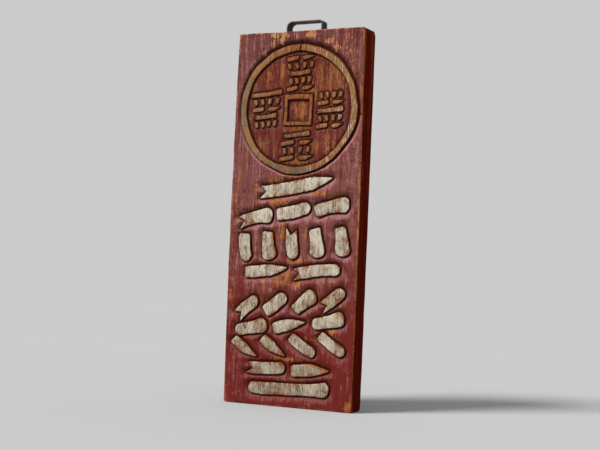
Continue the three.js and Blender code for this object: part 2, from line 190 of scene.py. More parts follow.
# Flaws of the wood. Upright cracks: x, sway, lowest and highest z, half-width and depth; slips
# of the knife: x, z, half-length, climb and depth; holes: x, z, radius and depth. Cracks and
# slips run out over FLAW_FADE at their ends, and holes over HOLE_FADE at their edges.
CRACKS = (
    (2.2, 1.2, 258, 288, 1.4, 1.8), (-5.0, 0.8, 264, 276, 1.0, 0.8), (9.0, 0.7, 262, 272, 1.0, 0.9),
    (-58.0, 0.6, -291, -268, 0.9, 0.7), (61.0, 0.5, -20, 40, 0.9, 0.6),
    (33.0, 0.6, -150, -118, 0.9, 0.6),
)
KNIFE_SLIPS = ((-87, 41, 9, 0.12, 0.8), (60, 47, 7, 0.35, 0.5), (-40, -76, 10, -0.06, 0.4))
HOLES = ((108.5, 163, 2.0, 2.6), (-113, 176, 2.4, 1.2), (-20, 6, 1.2, 1.0))
SWAY_LENGTH = 4.0
SLIP_HALF_WIDTH = 1.0
FLAW_FADE = 4.0
HOLE_FADE = 1.1

# Places where the paint is worn: x, z, half-width, half-height and how far it is gone. Each
# fades out at WORN_REACH times its half-sizes.
WORN_PLACES = (
    (-36, 294, 24, 5, 1.0), (-32, 285, 5, 9, 1.0), (20, 292, 14, 6, 1.0), (51, 281, 10, 5, 1.0),
    (66, 270, 6, 9, 0.9), (-48, 280, 4, 8, 0.9), (-64, 266, 4, 6, 0.9), (90, 255, 16, 50, 0.45),
    (37, 222, 7, 26, 1.0), (52, 214, 7, 32, 1.0), (66, 205, 6, 28, 1.0), (47, 212, 42, 42, 0.72),
    (-30, 236, 8, 14, 0.9), (-54, 222, 8, 18, 0.9), (-45, 225, 34, 30, 0.5), (22, 196, 12, 12, 0.9),
    (5, 172, 11, 16, 1.0), (0, 172, 20, 18, 0.55), (4, 140, 28, 6, 1.0), (-52, 120, 26, 26, 0.55),
    (50, 118, 30, 24, 0.5), (0, 88, 60, 12, 0.5), (-86, 180, 8, 40, 0.4), (-9, 90, 34, 6, 0.9),
    (-34, 58, 16, 9, 0.9), (20, 66, 40, 5, 0.7), (-28, 27, 26, 12, 0.9), (45, 40, 18, 6, 0.9),
    (-96, 70, 6, 60, 0.5), (-104, 0, 6, 70, 0.5), (-72, 36, 5, 30, 0.7), (-20, -22, 10, 20, 0.7),
    (24, -30, 8, 20, 0.5), (10, -68, 32, 5, 0.9), (-2, -98, 34, 14, 0.9), (-30, -104, 60, 18, 0.4),
    (66, -98, 20, 12, 0.4), (70, -131, 12, 7, 0.9), (-38, -136, 8, 10, 0.7), (78, -175, 9, 13, 0.9),
    (35, -190, 30, 5, 0.8), (-82, -207, 8, 8, 0.9), (-95, -190, 8, 40, 0.4), (-8, -224, 34, 4, 0.9),
    (4, -257, 34, 4, 0.9), (100, -238, 6, 40, 0.4), (20, -291, 40, 4, 0.6), (107, -291, 9, 10, 1.0),
    (-104, -120, 5, 34, 0.45),
)
WORN_REACH = 1.5

# The sawn ends: how far they lie back and waver, a dip in the top and a slope in the bottom.
# Each end reads its waver in a row of its own. The wave dies out along the sides over
# WAVE_REACH, and the ends' rounding gives way to the sides' over END_REACH.
END_BACK = 0.35
END_WAVER = ((0.3, 17, 17, 31),)
END_ROW = 1000.0
TOP_DIP = {"x": -38, "half_width": 26}
BOTTOM_SLOPE = {"x": -40, "length": 60, "depth": 0.6}
WAVE_REACH = 60
END_REACH = 9

# Unevenness of the front edge's rounding and of the sides, and how much of it the ends have.
ROUND_WAVER = ((0.45, 14, 14, 41),)
SIDE_WAVER = ((0.25, 30, 9, 42),)
END_SHARE = 0.5

# Rings of mesh points along every raised edge, as distance from it and spacing; how far a
# point may be off its ring, as a share of the distance; and the share of the spacing that has
# to be free round a point.
EDGE_RINGS = ((-4.2, 2.0), (-2.0, 1.5), (-0.7, 1.0), (0.9, 1.0), (1.9, 1.2), (3.3, 1.6), (5.4, 2.1))
RING_SLACK = 0.28
RING_ROOM = 0.62

# Spacing of the points that fill the raised tops and the ground, the share of it that has to
# be free round a point, and how far the tops' filling goes past their edges.
TOP_SPACING, TOP_ROOM = 1.7, 0.75
GROUND_SPACING, GROUND_ROOM = 2.2, 0.72
TOP_MARGIN = 0.5

# Spacing of the points on the carved edges, round the plank, down its sides and on its back,
# the least room round a point of a carved edge, and how far the filling keeps off the rim.
EDGE_SPACING = 0.9
RIM_SPACING = 2.8
SIDE_SPACING = 3.4
BACK_SPACING = 5.5
CLOSEST_POINTS = 0.5
RIM_MARGIN = 0.9

# Where points lie on the roundings: of the four corners seen from the front, of the front
# edge and of the back edge. The last two take about this much of the thickness.
CORNER_TURN = np.radians((0, 30, 60, 90))
FRONT_TURN = np.radians((0, 30, 60, 90))
BACK_TURN = np.radians((22, 45, 68, 90))
ROUNDED_DEPTH = 8

# How many loops of the side sink with the cut ground at the rim, how many strips beside the
# rim are painted like the face, and over what distance the back's unevenness sets in.
SINK_LOOPS = 6
FRONT_STRIPS = 2
BACK_FADE = 12

# Turns sharper than this stay corners when an outline is divided. Points nearer than the next
# are one point, corners nearer than the third are joined, and smaller triangles are dropped.
CORNER = math.radians(32)
SAME_POINT = 1e-6
JOINED_WITHIN = 1e-5
SLIVER = 1e-7

# Distances over FAR aren't told apart, and corners down to FACE_DEPTH belong to the face.
FAR = 50.0
FACE_DEPTH = 6.5

# Half the height over which a slope is read, and the slope that counts as full painted light or shade.
LEDGE_STEP = 1.1
FULL_LEDGE = 1.4

# Edges sharper than this stay hard, and how far the cutters of the slots stand out of the top.
PLANK_CREASE = math.radians(52)
STRAP_CREASE = math.radians(45)
SLOT_OVERSHOOT = 0.01

# Sections along the strap's left leg, left bend, top, right bend and right leg, and where it
# is divided across, as shares of its width. Corners this near are one, and edges this sharp
# are bevelled.
STRAP_STEPS = (8, 8, 12, 6, 9)
STRAP_CUTS = (-0.375, -0.125, 0.125, 0.375)
STRAP_JOIN = 0.00001
STRAP_BEVEL_FROM = math.radians(50)

# How the hammer left the strap above the plank: narrower by a share of its width, and sunk by
# millimetres, each as a layer of marks; over what height that sets in, and how far in from
# its edges the strap is rubbed bare and lightened as a painted highlight, in metres.
NARROWED = ((0.020, 11, 11, 61),)
SUNK = ((0.18, 9, 14, 62),)
HAMMER_FADE = 0.004
RUBBED_EDGE = 0.0016

# How far each seed moves a noise along x, y and z, and the part of a noise's range that is
# spread out over -1 to 1.
SEED_SHIFT = (7.3, 3.1, 5.7)
SPREAD_RANGE = (0.32, 0.68)

# The inputs and the output of a mix node that mixes colours.
MIX_SHARE, MIX_UNDER, MIX_OVER = 0, 6, 7
MIX_COLOUR = 2

# Where the camera stands and looks, and which way the broad light shines.
CAMERA_PLACE = (0.862, -1.7178, -0.4102)
CAMERA_LOOK = (-0.4473, 0.8934, 0.0432)
CAMERA_UP = (-0.0166, -0.0566, 0.9983)
KEY_DIRECTION = (0.40, 0.55, -0.73)


def smooth(value):
    """Eases a value from 0 to 1, and holds it there outside."""
    t = np.clip(value, 0, 1)
    return t * t * (3 - 2 * t)


def profile(distance, pairs):
    """A depth read off a profile at each distance."""
    places, depths = zip(*pairs)
    return np.interp(distance, places, depths)


def mottle(points, cell_x, cell_z, seed):
    """Smooth random values from -1 to 1: one for each corner of a cell, eased between."""
    count, start = 61, 1000
    corners = np.random.default_rng(seed).uniform(-1, 1, (count, count))
    u = points[:, 0] / cell_x + start
    v = points[:, 1] / cell_z + start
    i, j = np.floor(u).astype(int), np.floor(v).astype(int)
    s, t = smooth(u - i), smooth(v - j)

    def level(row):
        return corners[i % count, row % count] * (1 - s) + corners[(i + 1) % count, row % count] * s

    return level(j) * (1 - t) + level(j + 1) * t


def uneven(points, layers):
    """Heights of several layers of marks, one over the other."""
    return sum(height * mottle(points, wide, long, seed) for height, wide, long, seed in layers)


def worn_down(points, layers):
    """The same, lowered so that the first layer only takes wood away."""
    return uneven(points, layers) - layers[0][0]


def end_shape(kind, distance, width):
    """How much of its half-width a stroke keeps at a distance from one of its ends."""
    def arc(reach):
        inside = 1 - np.clip(distance / reach, 0, 1)
        return np.sqrt(1 - inside * inside)

    if kind == "round":
        return arc(width * ROUND_REACH)
    if kind == "point":
        return np.clip(distance / (width * POINT_REACH), 0, 1) ** POINT_FULLNESS
    if kind == "blunt":
        return BLUNT_START + (1 - BLUNT_START) * arc(width * BLUNT_REACH)
    if kind == "foot":
        swell = 1 + FOOT_SWELL * smooth(1 - distance / (width * FOOT_REACH))
        return swell * arc(width * ROUND_REACH)
    return np.ones_like(distance)


def stroke_outline(stroke, steps=48):
    """A stroke's closed outline: along its lower side and back along its upper side."""
    length, width = stroke["length"], stroke["width"]
    share = (1 - np.cos(np.pi * np.arange(steps + 1) / steps)) / 2
    angle = np.radians(stroke["tilt"] + stroke["bend"] * (share - 0.5))
    step = np.diff(share) * length
    heading = (angle[1:] + angle[:-1]) / 2
    spine = np.zeros((steps + 1, 2))
    spine[1:, 0] = np.cumsum(step * np.cos(heading))
    spine[1:, 1] = np.cumsum(step * np.sin(heading))
    spine += np.array((stroke["x"], stroke["z"])) - spine[steps // 2]
    along = share * length
    half = width / 2 * end_shape(stroke["head"], along, width)
    half = half * end_shape(stroke["tail"], length - along, width)
    across = np.stack((-np.sin(angle), np.cos(angle)), 1) * half[:, None]
    body = np.ones(steps + 1, bool)
    head = np.zeros((0, 2))
    if stroke["head"] == "split":
        body = along >= SPLIT_REACH * width
        cosine, sine = math.cos(angle[0]), math.sin(angle[0])
        head = spine[0] + width * np.array(SPLIT_HEAD) @ np.array(((cosine, sine), (-sine, cosine)))
    return np.vstack(((spine - across)[body], (spine + across)[body][::-1], head))


def big_strokes():
    """Every big stroke, row by row."""
    strokes = []
    for row in BIG_ROWS:
        for i in range(row["count"]):
            share = i / max(1, row["count"] - 1)
            x = row["left"] + (row["right"] - row["left"]) * share
            strokes.append(dict(
                x=x, z=row["z"] + row["rise"] * x, length=row["length"], width=row["width"],
                tilt=row["tilt"], bend=row["bends"][i], head=row["heads"][i], tail=row["tails"][i],
            ))
    return strokes


def small_row(kind, half, x, z):
    """One row of a small block, as strokes about the block's middle line."""
    common = dict(width=SMALL_STROKE_WIDTH, bend=SMALL_BEND)
    if kind == "bar":
        return [dict(common, x=x, z=z, length=2 * half, tilt=BAR_TILT, head="split", tail="foot")]
    if kind == "pair":
        ends = {-1: ("blunt", "round"), 1: ("round", "point")}
        return [
            dict(common, x=x + side * half * PAIR["place"], z=z + side * PAIR["climb"],
                 length=half * PAIR["length"], tilt=PAIR["tilt"], head=head, tail=tail)
            for side, (head, tail) in ends.items()
        ]
    return [
        dict(common, x=x + place * half, z=z + place * DAB["climb"], length=DAB["length"],
             tilt=DAB["left_tilt"] if place < 0 else DAB["right_tilt"], head="blunt", tail="round")
        for place in DAB_PLACES
    ]


def small_strokes():
    """Every small stroke, block by block."""
    strokes = []
    for x, middle, rows in SMALL_BLOCKS:
        for index, (kind, half) in enumerate(rows):
            z = middle + SMALL_ROW_PITCH * ((len(rows) - 1) / 2 - index)
            strokes += small_row(kind, half, x, z)
    return strokes


def circle_outline(radius, steps=240):
    """A circle about the middle of the ring."""
    angle = 2 * np.pi * np.arange(steps) / steps
    return np.stack((radius * np.cos(angle), RING_Z + radius * np.sin(angle)), 1)


def box_outline(box):
    """The four corners of an upright rectangle."""
    half = np.array((box["width"], box["height"])) / 2
    corners = np.array(((-1, -1), (1, -1), (1, 1), (-1, 1)))
    return np.array((box["x"], box["z"])) + corners * half


def evenly(outline, spacing):
    """The same closed outline with points about a spacing apart, its sharp corners kept."""
    outline = outline[np.linalg.norm(outline - np.roll(outline, 1, 0), axis=1) > SAME_POINT]
    ahead = np.roll(outline, -1, 0) - outline
    behind = outline - np.roll(outline, 1, 0)
    cross = behind[:, 0] * ahead[:, 1] - behind[:, 1] * ahead[:, 0]
    turn = np.abs(np.arctan2(cross, (behind * ahead).sum(1)))
    corners = list(np.flatnonzero(turn > CORNER)) or [0]
    outline = np.roll(outline, -corners[0], 0)
    stops = [c - corners[0] for c in corners] + [len(outline)]
    closed = np.vstack((outline, outline[:1]))
    pieces = []
    for first, last in zip(stops[:-1], stops[1:]):
        run = closed[first:last + 1]
        lengths = np.linalg.norm(np.diff(run, axis=0), axis=1)
        travelled = np.concatenate(((0,), np.cumsum(lengths)))
        count = max(1, round(travelled[-1] / spacing))
        at = np.linspace(0, travelled[-1], count + 1)[:-1]
        pieces.append(np.stack([np.interp(at, travelled, side) for side in run.T], 1))
    return np.vstack(pieces)


def wandered(outline, wander=EDGE_WANDER, seed=11):
    """An outline as the knife left it: moved a little, slowly along its way."""
    moved = outline.copy()
    for number, (cell, reach) in enumerate(wander):
        for axis in (0, 1):
            moved[:, axis] += reach * mottle(outline, cell, cell, seed + 2 * number + axis)
    return moved


def signed_distance(points, outline, reach=FAR):
    """Distance of points to a closed outline, negative inside it, and no more than reach."""
    result = np.full(len(points), float(reach))
    low, high = outline.min(0) - reach, outline.max(0) + reach
    near = np.flatnonzero(((points > low) & (points < high)).all(1))
    if not len(near):
        return result
    x, z = points[near, 0], points[near, 1]
    square = np.full(len(near), float(reach) ** 2)
    inside = np.zeros(len(near), bool)
    for (ax, az), (bx, bz) in zip(outline, np.roll(outline, -1, 0)):
        ux, uz = bx - ax, bz - az
        share = np.clip(((x - ax) * ux + (z - az) * uz) / (ux * ux + uz * uz), 0, 1)
        square = np.minimum(square, (x - ax - share * ux) ** 2 + (z - az - share * uz) ** 2)
        if uz:
            inside ^= ((az > z) != (bz > z)) & (x < ax + (z - az) * ux / uz)
    result[near] = np.where(inside, -1, 1) * np.sqrt(square)
    return result


class Carving:
    """The outlines on the face, and what they make of any point there."""

    REACH = 14.0

    def __init__(self):
        def cut(outline, *wander):
            return wandered(evenly(outline, EDGE_SPACING), *wander)

        self.big = [cut(stroke_outline(s)) for s in big_strokes()]
        self.small = [cut(stroke_outline(s, SMALL_STROKE_STEPS)) for s in small_strokes()]
        self.ring = cut(circle_outline(RING_OUTER_RADIUS), RING_WANDER, RING_SEED)
        self.disc = cut(circle_outline(RING_INNER_RADIUS), RING_WANDER, DISC_SEED)
        self.frame = cut(box_outline(FRAME_BOX))
        self.hole = cut(box_outline(FRAME_HOLE))

    def outlines(self):
        """Every edge of a raised form, and whether wood stands inside or outside it."""
        raised = [(o, 1) for o in (*self.big, *self.small, self.ring, self.frame)]
        return raised + [(self.disc, -1), (self.hole, -1)]

    def distance(self, points, *outlines):
        """Distance to the nearest of some outlines, negative inside any."""
        return np.minimum.reduce([signed_distance(points, o, self.REACH) for o in outlines])

    def read(self, points):
        """The distances of points to the carved forms, by name."""
        ring = self.distance(points, self.ring)
        disc = self.distance(points, self.disc)
        hole = self.distance(points, self.hole)
        angle = np.arctan2(points[:, 1] - RING_Z, points[:, 0])
        read = {
            "big": self.distance(points, *self.big),
            "small": self.distance(points, *self.small),
            "ring": np.maximum(ring, -disc),
            "frame": np.maximum(self.distance(points, self.frame), -hole),
            "groove": ring / (1.0 + GROOVE_SWELL * np.cos(angle - GROOVE_WIDEST)),
            "in_disc": -disc,
            "in_hole": -hole,
        }
        read["gilt"] = np.minimum.reduce([read["ring"], read["frame"], read["small"]])
        read["nearest"] = np.minimum(read["big"], read["gilt"])
        return read


def graded(read, profiles):
    """A value at each point from the profiles of the edges about it."""
    small = np.minimum(read["small"], read["frame"])
    outer = np.maximum(profile(read["big"], profiles["big"]), profile(read["groove"], profiles["ring"]))
    inner = np.maximum(profile(read["in_disc"], profiles["disc"]), profile(small, profiles["small"]))
    value = np.where(read["in_disc"] > 0, inner, outer)
    return np.where(read["in_hole"] > 0, profile(read["in_hole"], profiles["hole"]), value)


def cut_depth(read):
    """How far below the uncut face the carving is, without the unevenness of the wood."""
    depth = graded(read, GROUND)
    for name, top in TOPS.items():
        depth = np.where(read[name] <= 0, profile(-read[name], top), depth)
    return depth


def carved_height(points, read):
    """How far the wood stands out of the uncut face."""
    depth = cut_depth(read)
    cut = smooth((depth - CUT_START) / CUT_FADE) * (read["nearest"] > 0)
    marks = uneven(points, CHISELLED) * cut + uneven(points, GRAINED) * (1 - cut)
    return -depth + uneven(points, PLANED) + marks


def flaws(points):
    """How deep the cracks, knife slips and small holes go at points of the face."""
    x, z = points[:, 0], points[:, 1]
    depths = [np.zeros(len(points))]
    for at, sway, low, high, wide, deep in CRACKS:
        across = np.abs(x - at - sway * np.sin(z / SWAY_LENGTH))
        ends = smooth((z - low) / FLAW_FADE) * smooth((high - z) / FLAW_FADE)
        depths.append(deep * smooth(1 - across / wide) * ends)
    for at, level, length, climb, deep in KNIFE_SLIPS:
        across = np.abs(z - level - climb * (x - at)) / SLIP_HALF_WIDTH
        depths.append(deep * smooth(1 - across) * smooth((length - np.abs(x - at)) / FLAW_FADE))
    for at, level, radius, deep in HOLES:
        depths.append(deep * smooth((radius - np.hypot(x - at, z - level)) / HOLE_FADE))
    return np.maximum.reduce(depths)


def worn_share(points):
    """How far the paint is worn at points of the face, from 0 to 1, by listed patches."""
    shares = [np.zeros(len(points))]
    for x, z, wide, high, gone in WORN_PLACES:
        reach = np.hypot((points[:, 0] - x) / wide, (points[:, 1] - z) / high)
        shares.append(gone * smooth(WORN_REACH - reach))
    return np.maximum.reduce(shares)


def slope_light_share(points, carving):
    """How much the wood slopes upwards at points of the face, from -1 (down) to 1 (up): the face paint
    lays a painted highlight on upward slopes and painted shade on downward ones.
    """
    step = np.array((0.0, LEDGE_STEP))
    above, below = (cut_depth(carving.read(points + way)) for way in (step, -step))
    return np.clip((above - below) / FULL_LEDGE, -1, 1)


def half_width(widths, z):
    """Half-width of the plank at a height: a shallow bow through three widths."""
    top, middle, bottom = widths
    u = z / HALF_HEIGHT
    return middle + (top - bottom) / 2 * u + ((top + bottom) / 2 - middle) * u * u


def end_wave(x, side):
    """How far a sawn end of the plank strays from straight; side is 1 at the top, -1 below."""
    points = np.stack((x, np.full_like(x, END_ROW * side)), 1)
    if side > 0:
        dip = np.exp(-((x - TOP_DIP["x"]) / TOP_DIP["half_width"]) ** 2)
    else:
        dip = BOTTOM_SLOPE["depth"] * smooth((BOTTOM_SLOPE["x"] - x) / BOTTOM_SLOPE["length"])
    return -(END_BACK + uneven(points, END_WAVER) + dip)


def number_setting(name, description, default, **more):
    """A number that a user may change."""
    return bpy.props.FloatProperty(
        name=name, description=description, default=default, min=0, **more,
    )


def length_setting(name, description, default):
    """A length that a user may change."""
    return number_setting(name, description, default, unit="LENGTH", precision=5)


def colour_setting(name, description, default):
    """A colour that a user may change, in linear light."""
    return bpy.props.FloatVectorProperty(
        name=name, description=description, default=default, min=0, max=1, size=3, subtype="COLOR",
    )


class PlankSettings(bpy.types.PropertyGroup):
    """Sizes of the plank's worn edges and of the slots for the strap."""

    front_round: length_setting("Front edge", "Radius of the worn front edges", 0.0010)
    top_round: length_setting("Top back edge", "Radius of the back edge at the top", 0.007)
    bottom_round: length_setting("Bottom back edge", "Radius of the back edge at the bottom", 0.005)
    side_round: length_setting("Side back edges", "Radius of the back edges at the sides", 0.0025)
    corner_round: length_setting("Corners", "Radius of the four corners seen from the front", 0.0018)
    slot_gap: length_setting("Slot play", "Room left round each leg of the strap", 0.0003)


class PaintSettings(bpy.types.PropertyGroup):
    """Colours of the paint, the gilding and the wood."""

    maroon: colour_setting("Paint", "Old red-purple paint", (0.19, 0.066, 0.055))
    plum: colour_setting("Faded paint", "Paint that has greyed towards the top", (0.145, 0.053, 0.048))
    brick: colour_setting("Fresh paint", "Redder paint low on the plank", (0.128, 0.0145, 0.0105))
    # The rubbed paint colour is a pale bloom at random and also a painted sheen on slopes that face up.
    lilac_bloom_and_sheen: colour_setting("Rubbed paint", "Pale bloom where the paint is rubbed", (0.33, 0.142, 0.152))
    wood: colour_setting("Bare wood", "Wood where the paint has worn through", (0.37, 0.133, 0.042))
    wood_dark: colour_setting("Bare wood grain", "Dark lines in the bare wood", (0.17, 0.042, 0.013))
    wood_pale: colour_setting("Rubbed wood", "Palest fibres of the bare wood", (0.54, 0.29, 0.12))
    cream: colour_setting("Cream", "Off-white paint on the big strokes", (0.52, 0.468, 0.368))
    cream_shade: colour_setting("Aged cream", "Greyed cream paint", (0.275, 0.20, 0.135))
    crack: colour_setting("Cracks", "Dirt in the cracks of the cream paint", (0.024, 0.015, 0.01))
    gold: colour_setting("Gilding", "Old gold on the ring and small strokes", (0.245, 0.078, 0.0225))
    gold_dark: colour_setting("Brown gilding", "Dirt that shows through the gold", (0.066, 0.0205, 0.0065))
    olive: colour_setting("Pale gilding", "Gold that has turned pale and olive", (0.25, 0.125, 0.047))
    slate: colour_setting("Lost gilding", "Grey where the gold is gone", (0.135, 0.098, 0.070))
    # The groove colour is the stain in the knife cuts; the face paint also lays it as painted shade in the
    # hollows round the raised forms and on slopes that face down.
    groove: colour_setting("Groove", "Dark stain in the knife cuts", (0.05, 0.0095, 0.0035))
    # The side colours are darker than the stain as painted shade on the plank's sides, and their deep red
    # is partly a painted red reflection; the ends and the back take them too.
    side: colour_setting("Side stain", "Red-brown stain on the sides and ends", (0.083, 0.004, 0.0025))
    shaded_side_grey: colour_setting("Side streaks", "Purple-grey streaks on the sides", (0.088, 0.009, 0.006))
    back: colour_setting("Back", "Plain back, where the stain is thin", (0.088, 0.034, 0.020))


class IronSettings(bpy.types.PropertyGroup):
    """Sizes and colours of the iron strap."""

    thickness: length_setting("Thickness", "Thickness of the strap", 0.002)
    left_bend: length_setting("Left bend", "Outer radius of the left bend", 0.010)
    right_bend: length_setting("Right bend", "Outer radius of the right bend", 0.0055)
    edge_round: length_setting("Edges", "Radius of the strap's worn edges", 0.0004)
    scale_colour: colour_setting("Scale", "Dark forge scale", (0.016, 0.01, 0.009))
    rust: colour_setting("Rust", "Brown rust film", (0.060, 0.026, 0.016))
    # The rubbed edge colour is partly worn iron and partly a painted highlight along the strap's edges.
    bright: colour_setting("Rubbed edge", "Iron rubbed bare along the edges", (0.13, 0.1, 0.09))


class StageSettings(bpy.types.PropertyGroup):
    """The floor, the lights and the camera."""

    floor_size: length_setting("Floor size", "Side of the square floor", 60.0)
    floor: colour_setting("Floor", "Pale floor", (0.3685, 0.3685, 0.3685))
    sky: colour_setting("Surroundings", "Pale surroundings", (0.8, 0.8, 0.8))
    sky_strength: number_setting("Surroundings' light", "Strength of the light from all round", 0.75)
    key_strength: number_setting("Key light", "Strength of the light at the upper left", 4.5)
    key_softness: number_setting(
        "Key softness", "How wide the key light looks from the sign", math.radians(18),
        max=math.radians(180), subtype="ANGLE", unit="ROTATION",
    )
    lens: number_setting("Lens", "Focal length of the camera", 72.0, unit="CAMERA")


class Net:
    """The mesh of the plank while it is put together: corners, faces and what each face is."""

    FRONT, SIDE, END, BACK = range(4)

    def __init__(self):
        self.corners = []
        self.faces = []
        self.kinds = []
        self.count = 0

    def add_corners(self, corners):
        """Adds corners and returns their numbers."""
        numbers = np.arange(self.count, self.count + len(corners))
        self.corners.append(np.asarray(corners, float))
        self.count += len(corners)
        return numbers

    def add_faces(self, faces, kinds):
        """Adds faces, all of one kind or each of its own."""
        self.faces.append(np.asarray(faces))
        self.kinds.append(np.broadcast_to(kinds, len(faces)))


def thinned(points, keep, gap):
    """Numbers of the points that have their gap free of all before; the first keep all stay."""
    buckets = {}
    chosen = []
    keys = np.floor(points / gap.max()).astype(int)
    for number in range(len(points)):
        x, z = points[number]
        i, j = keys[number]
        room = gap[number] ** 2
        free = number < keep or all(
            (x - a) ** 2 + (z - b) ** 2 >= room
            for m in (i - 1, i, i + 1) for n in (j - 1, j, j + 1) for a, b in buckets.get((m, n), ())
        )
        if free:
            buckets.setdefault((i, j), []).append((x, z))
            chosen.append(number)
    return np.array(chosen)


def hexagon_grid(outline, spacing):
    """Points of a triangular grid that fills the rectangle round an outline."""
    (left, bottom), (right, top) = outline.min(0), outline.max(0)
    columns = np.arange(left, right, spacing)
    grid = []
    for number, z in enumerate(np.arange(bottom, top, spacing * math.sqrt(3) / 2)):
        shift = spacing / 2 * (number % 2)
        grid.append(np.stack((columns + shift, np.full(len(columns), z)), 1))
    return np.vstack(grid)


def matched(points, targets):
    """For each target, the number of the point that lies on it."""
    return np.array([np.hypot(*(points - target).T).argmin() for target in targets])


def triangles_inside(points, loops):
    """Triangles that join the points inside the first loop and keep to the edges of all loops.

    Returns the corners, the triangles, and the numbers of the first loop's corners.
    """
    edges = [(int(a), int(b)) for loop in loops for a, b in zip(loop, np.roll(loop, -1))]
    found = delaunay_2d_cdt([Vector(p) for p in points], edges, [], 1, JOINED_WITHIN, False)
    corners = np.array([tuple(v) for v in found[0]])
    faces = np.array(found[2])
    a, b, c = (corners[faces[:, n]] for n in range(3))
    area = (b[:, 0] - a[:, 0]) * (c[:, 1] - a[:, 1]) - (b[:, 1] - a[:, 1]) * (c[:, 0] - a[:, 0])
    faces[area < 0] = faces[area < 0][:, ::-1]
    faces = faces[np.abs(area) > SLIVER]
    outline = points[loops[0]]
    rim = matched(corners, outline)
    on_rim = np.zeros(len(corners), bool)
    on_rim[rim] = True
    doubtful = np.flatnonzero(on_rim[faces].all(1))
    middles = corners[faces[doubtful]].mean(1)
    outside = doubtful[signed_distance(middles, outline) > 0]
    return corners, np.delete(faces, outside, 0), rim


def plank_rim(corner_round):
    """The plank's outline seen from the front, anticlockwise."""
    def run(half):
        return np.linspace(-1, 1, round(2 * half / RIM_SPACING) + 1)[1:-1] * (half - corner_round)

    upright = run(HALF_HEIGHT)
    level = run(half_width(FACE_HALF_WIDTH, HALF_HEIGHT))
    rim = []
    for start, edge in ((270, upright), (0, level[::-1]), (90, upright[::-1]), (180, level)):
        angle = np.radians(start) + CORNER_TURN
        side_x = 1 if start in (270, 0) else -1
        side_z = 1 if start in (0, 90) else -1
        middle_z = side_z * (HALF_HEIGHT - corner_round)
        middle_x = side_x * (half_width(FACE_HALF_WIDTH, middle_z) - corner_round)
        corner = np.stack((np.cos(angle), np.sin(angle)), 1) * corner_round
        rim.append(corner + np.array((middle_x, middle_z)))
        if start in (270, 90):
            rim.append(np.stack((side_x * half_width(FACE_HALF_WIDTH, edge), edge), 1))
        else:
            rim.append(np.stack((edge, np.full(len(edge), side_z * HALF_HEIGHT)), 1))
    return np.vstack(rim)


def plank_loops(rim, carving, plank):
    """Loops of points round the plank, from the edge of its face to the edge of its back.

    The first loop lies on the face. Each point is (x, depth behind the face, z).
    """
    x, z = rim[:, 0], rim[:, 1]
    # One at the ends of the plank and nought along its sides, eased over the corners.
    ending = smooth((np.abs(z) - (HALF_HEIGHT - END_REACH)) / END_REACH)
    wave = np.where(z > 0, end_wave(x, 1), end_wave(x, -1))
    drop = wave * smooth((np.abs(z) - (HALF_HEIGHT - WAVE_REACH)) / WAVE_REACH)
    back_round = np.where(z > 0, plank.top_round, plank.bottom_round) / MM * ending
    back_round = back_round + plank.side_round / MM * (1 - ending)
    front_round = plank.front_round / MM * (1 + uneven(rim, ROUND_WAVER))
    face_half = half_width(FACE_HALF_WIDTH, z)
    rear_share = half_width(BACK_HALF_WIDTH, z) / face_half

    def loop(inset, depth):
        """One loop: drawn in from the rim by an inset, at a depth behind the face."""
        width_scale = (1 + (rear_share - 1) * depth / BOARD_THICKNESS) * (1 - inset / face_half)
        rough = worn_down(np.stack((x + z, depth), 1), SIDE_WAVER)
        px = x * width_scale * (1 + rough / face_half)
        pz = (z + drop * np.sign(z)) * (1 - (inset - END_SHARE * rough) / HALF_HEIGHT)
        return np.stack((px, depth, pz), 1)

    loops = [loop(front_round * (1 - np.sin(a)), front_round * (1 - np.cos(a))) for a in FRONT_TURN]
    steps = round((BOARD_THICKNESS - ROUNDED_DEPTH) / SIDE_SPACING)
    stop = BOARD_THICKNESS - back_round
    for number in range(1, steps + 1):
        loops.append(loop(0, front_round + (stop - front_round) * number / steps))
    for a in BACK_TURN:
        loops.append(loop(back_round * (1 - np.cos(a)), stop + back_round * np.sin(a)))
    # Where the cut ground runs out over the edge of the face, the edge goes down with it.
    border = loops[0][:, (0, 2)]
    sunk = -carved_height(border, carving.read(border))
    for number, points in enumerate(loops[:SINK_LOOPS]):
        points[:, 1] += sunk * (1 - number / SINK_LOOPS)
    return loops


def outward(outline):
    """The direction away from the inside at each point of an anticlockwise outline."""
    ahead = np.roll(outline, -1, 0) - np.roll(outline, 1, 0)
    return np.stack((ahead[:, 1], -ahead[:, 0]), 1) / np.linalg.norm(ahead, axis=1)[:, None]


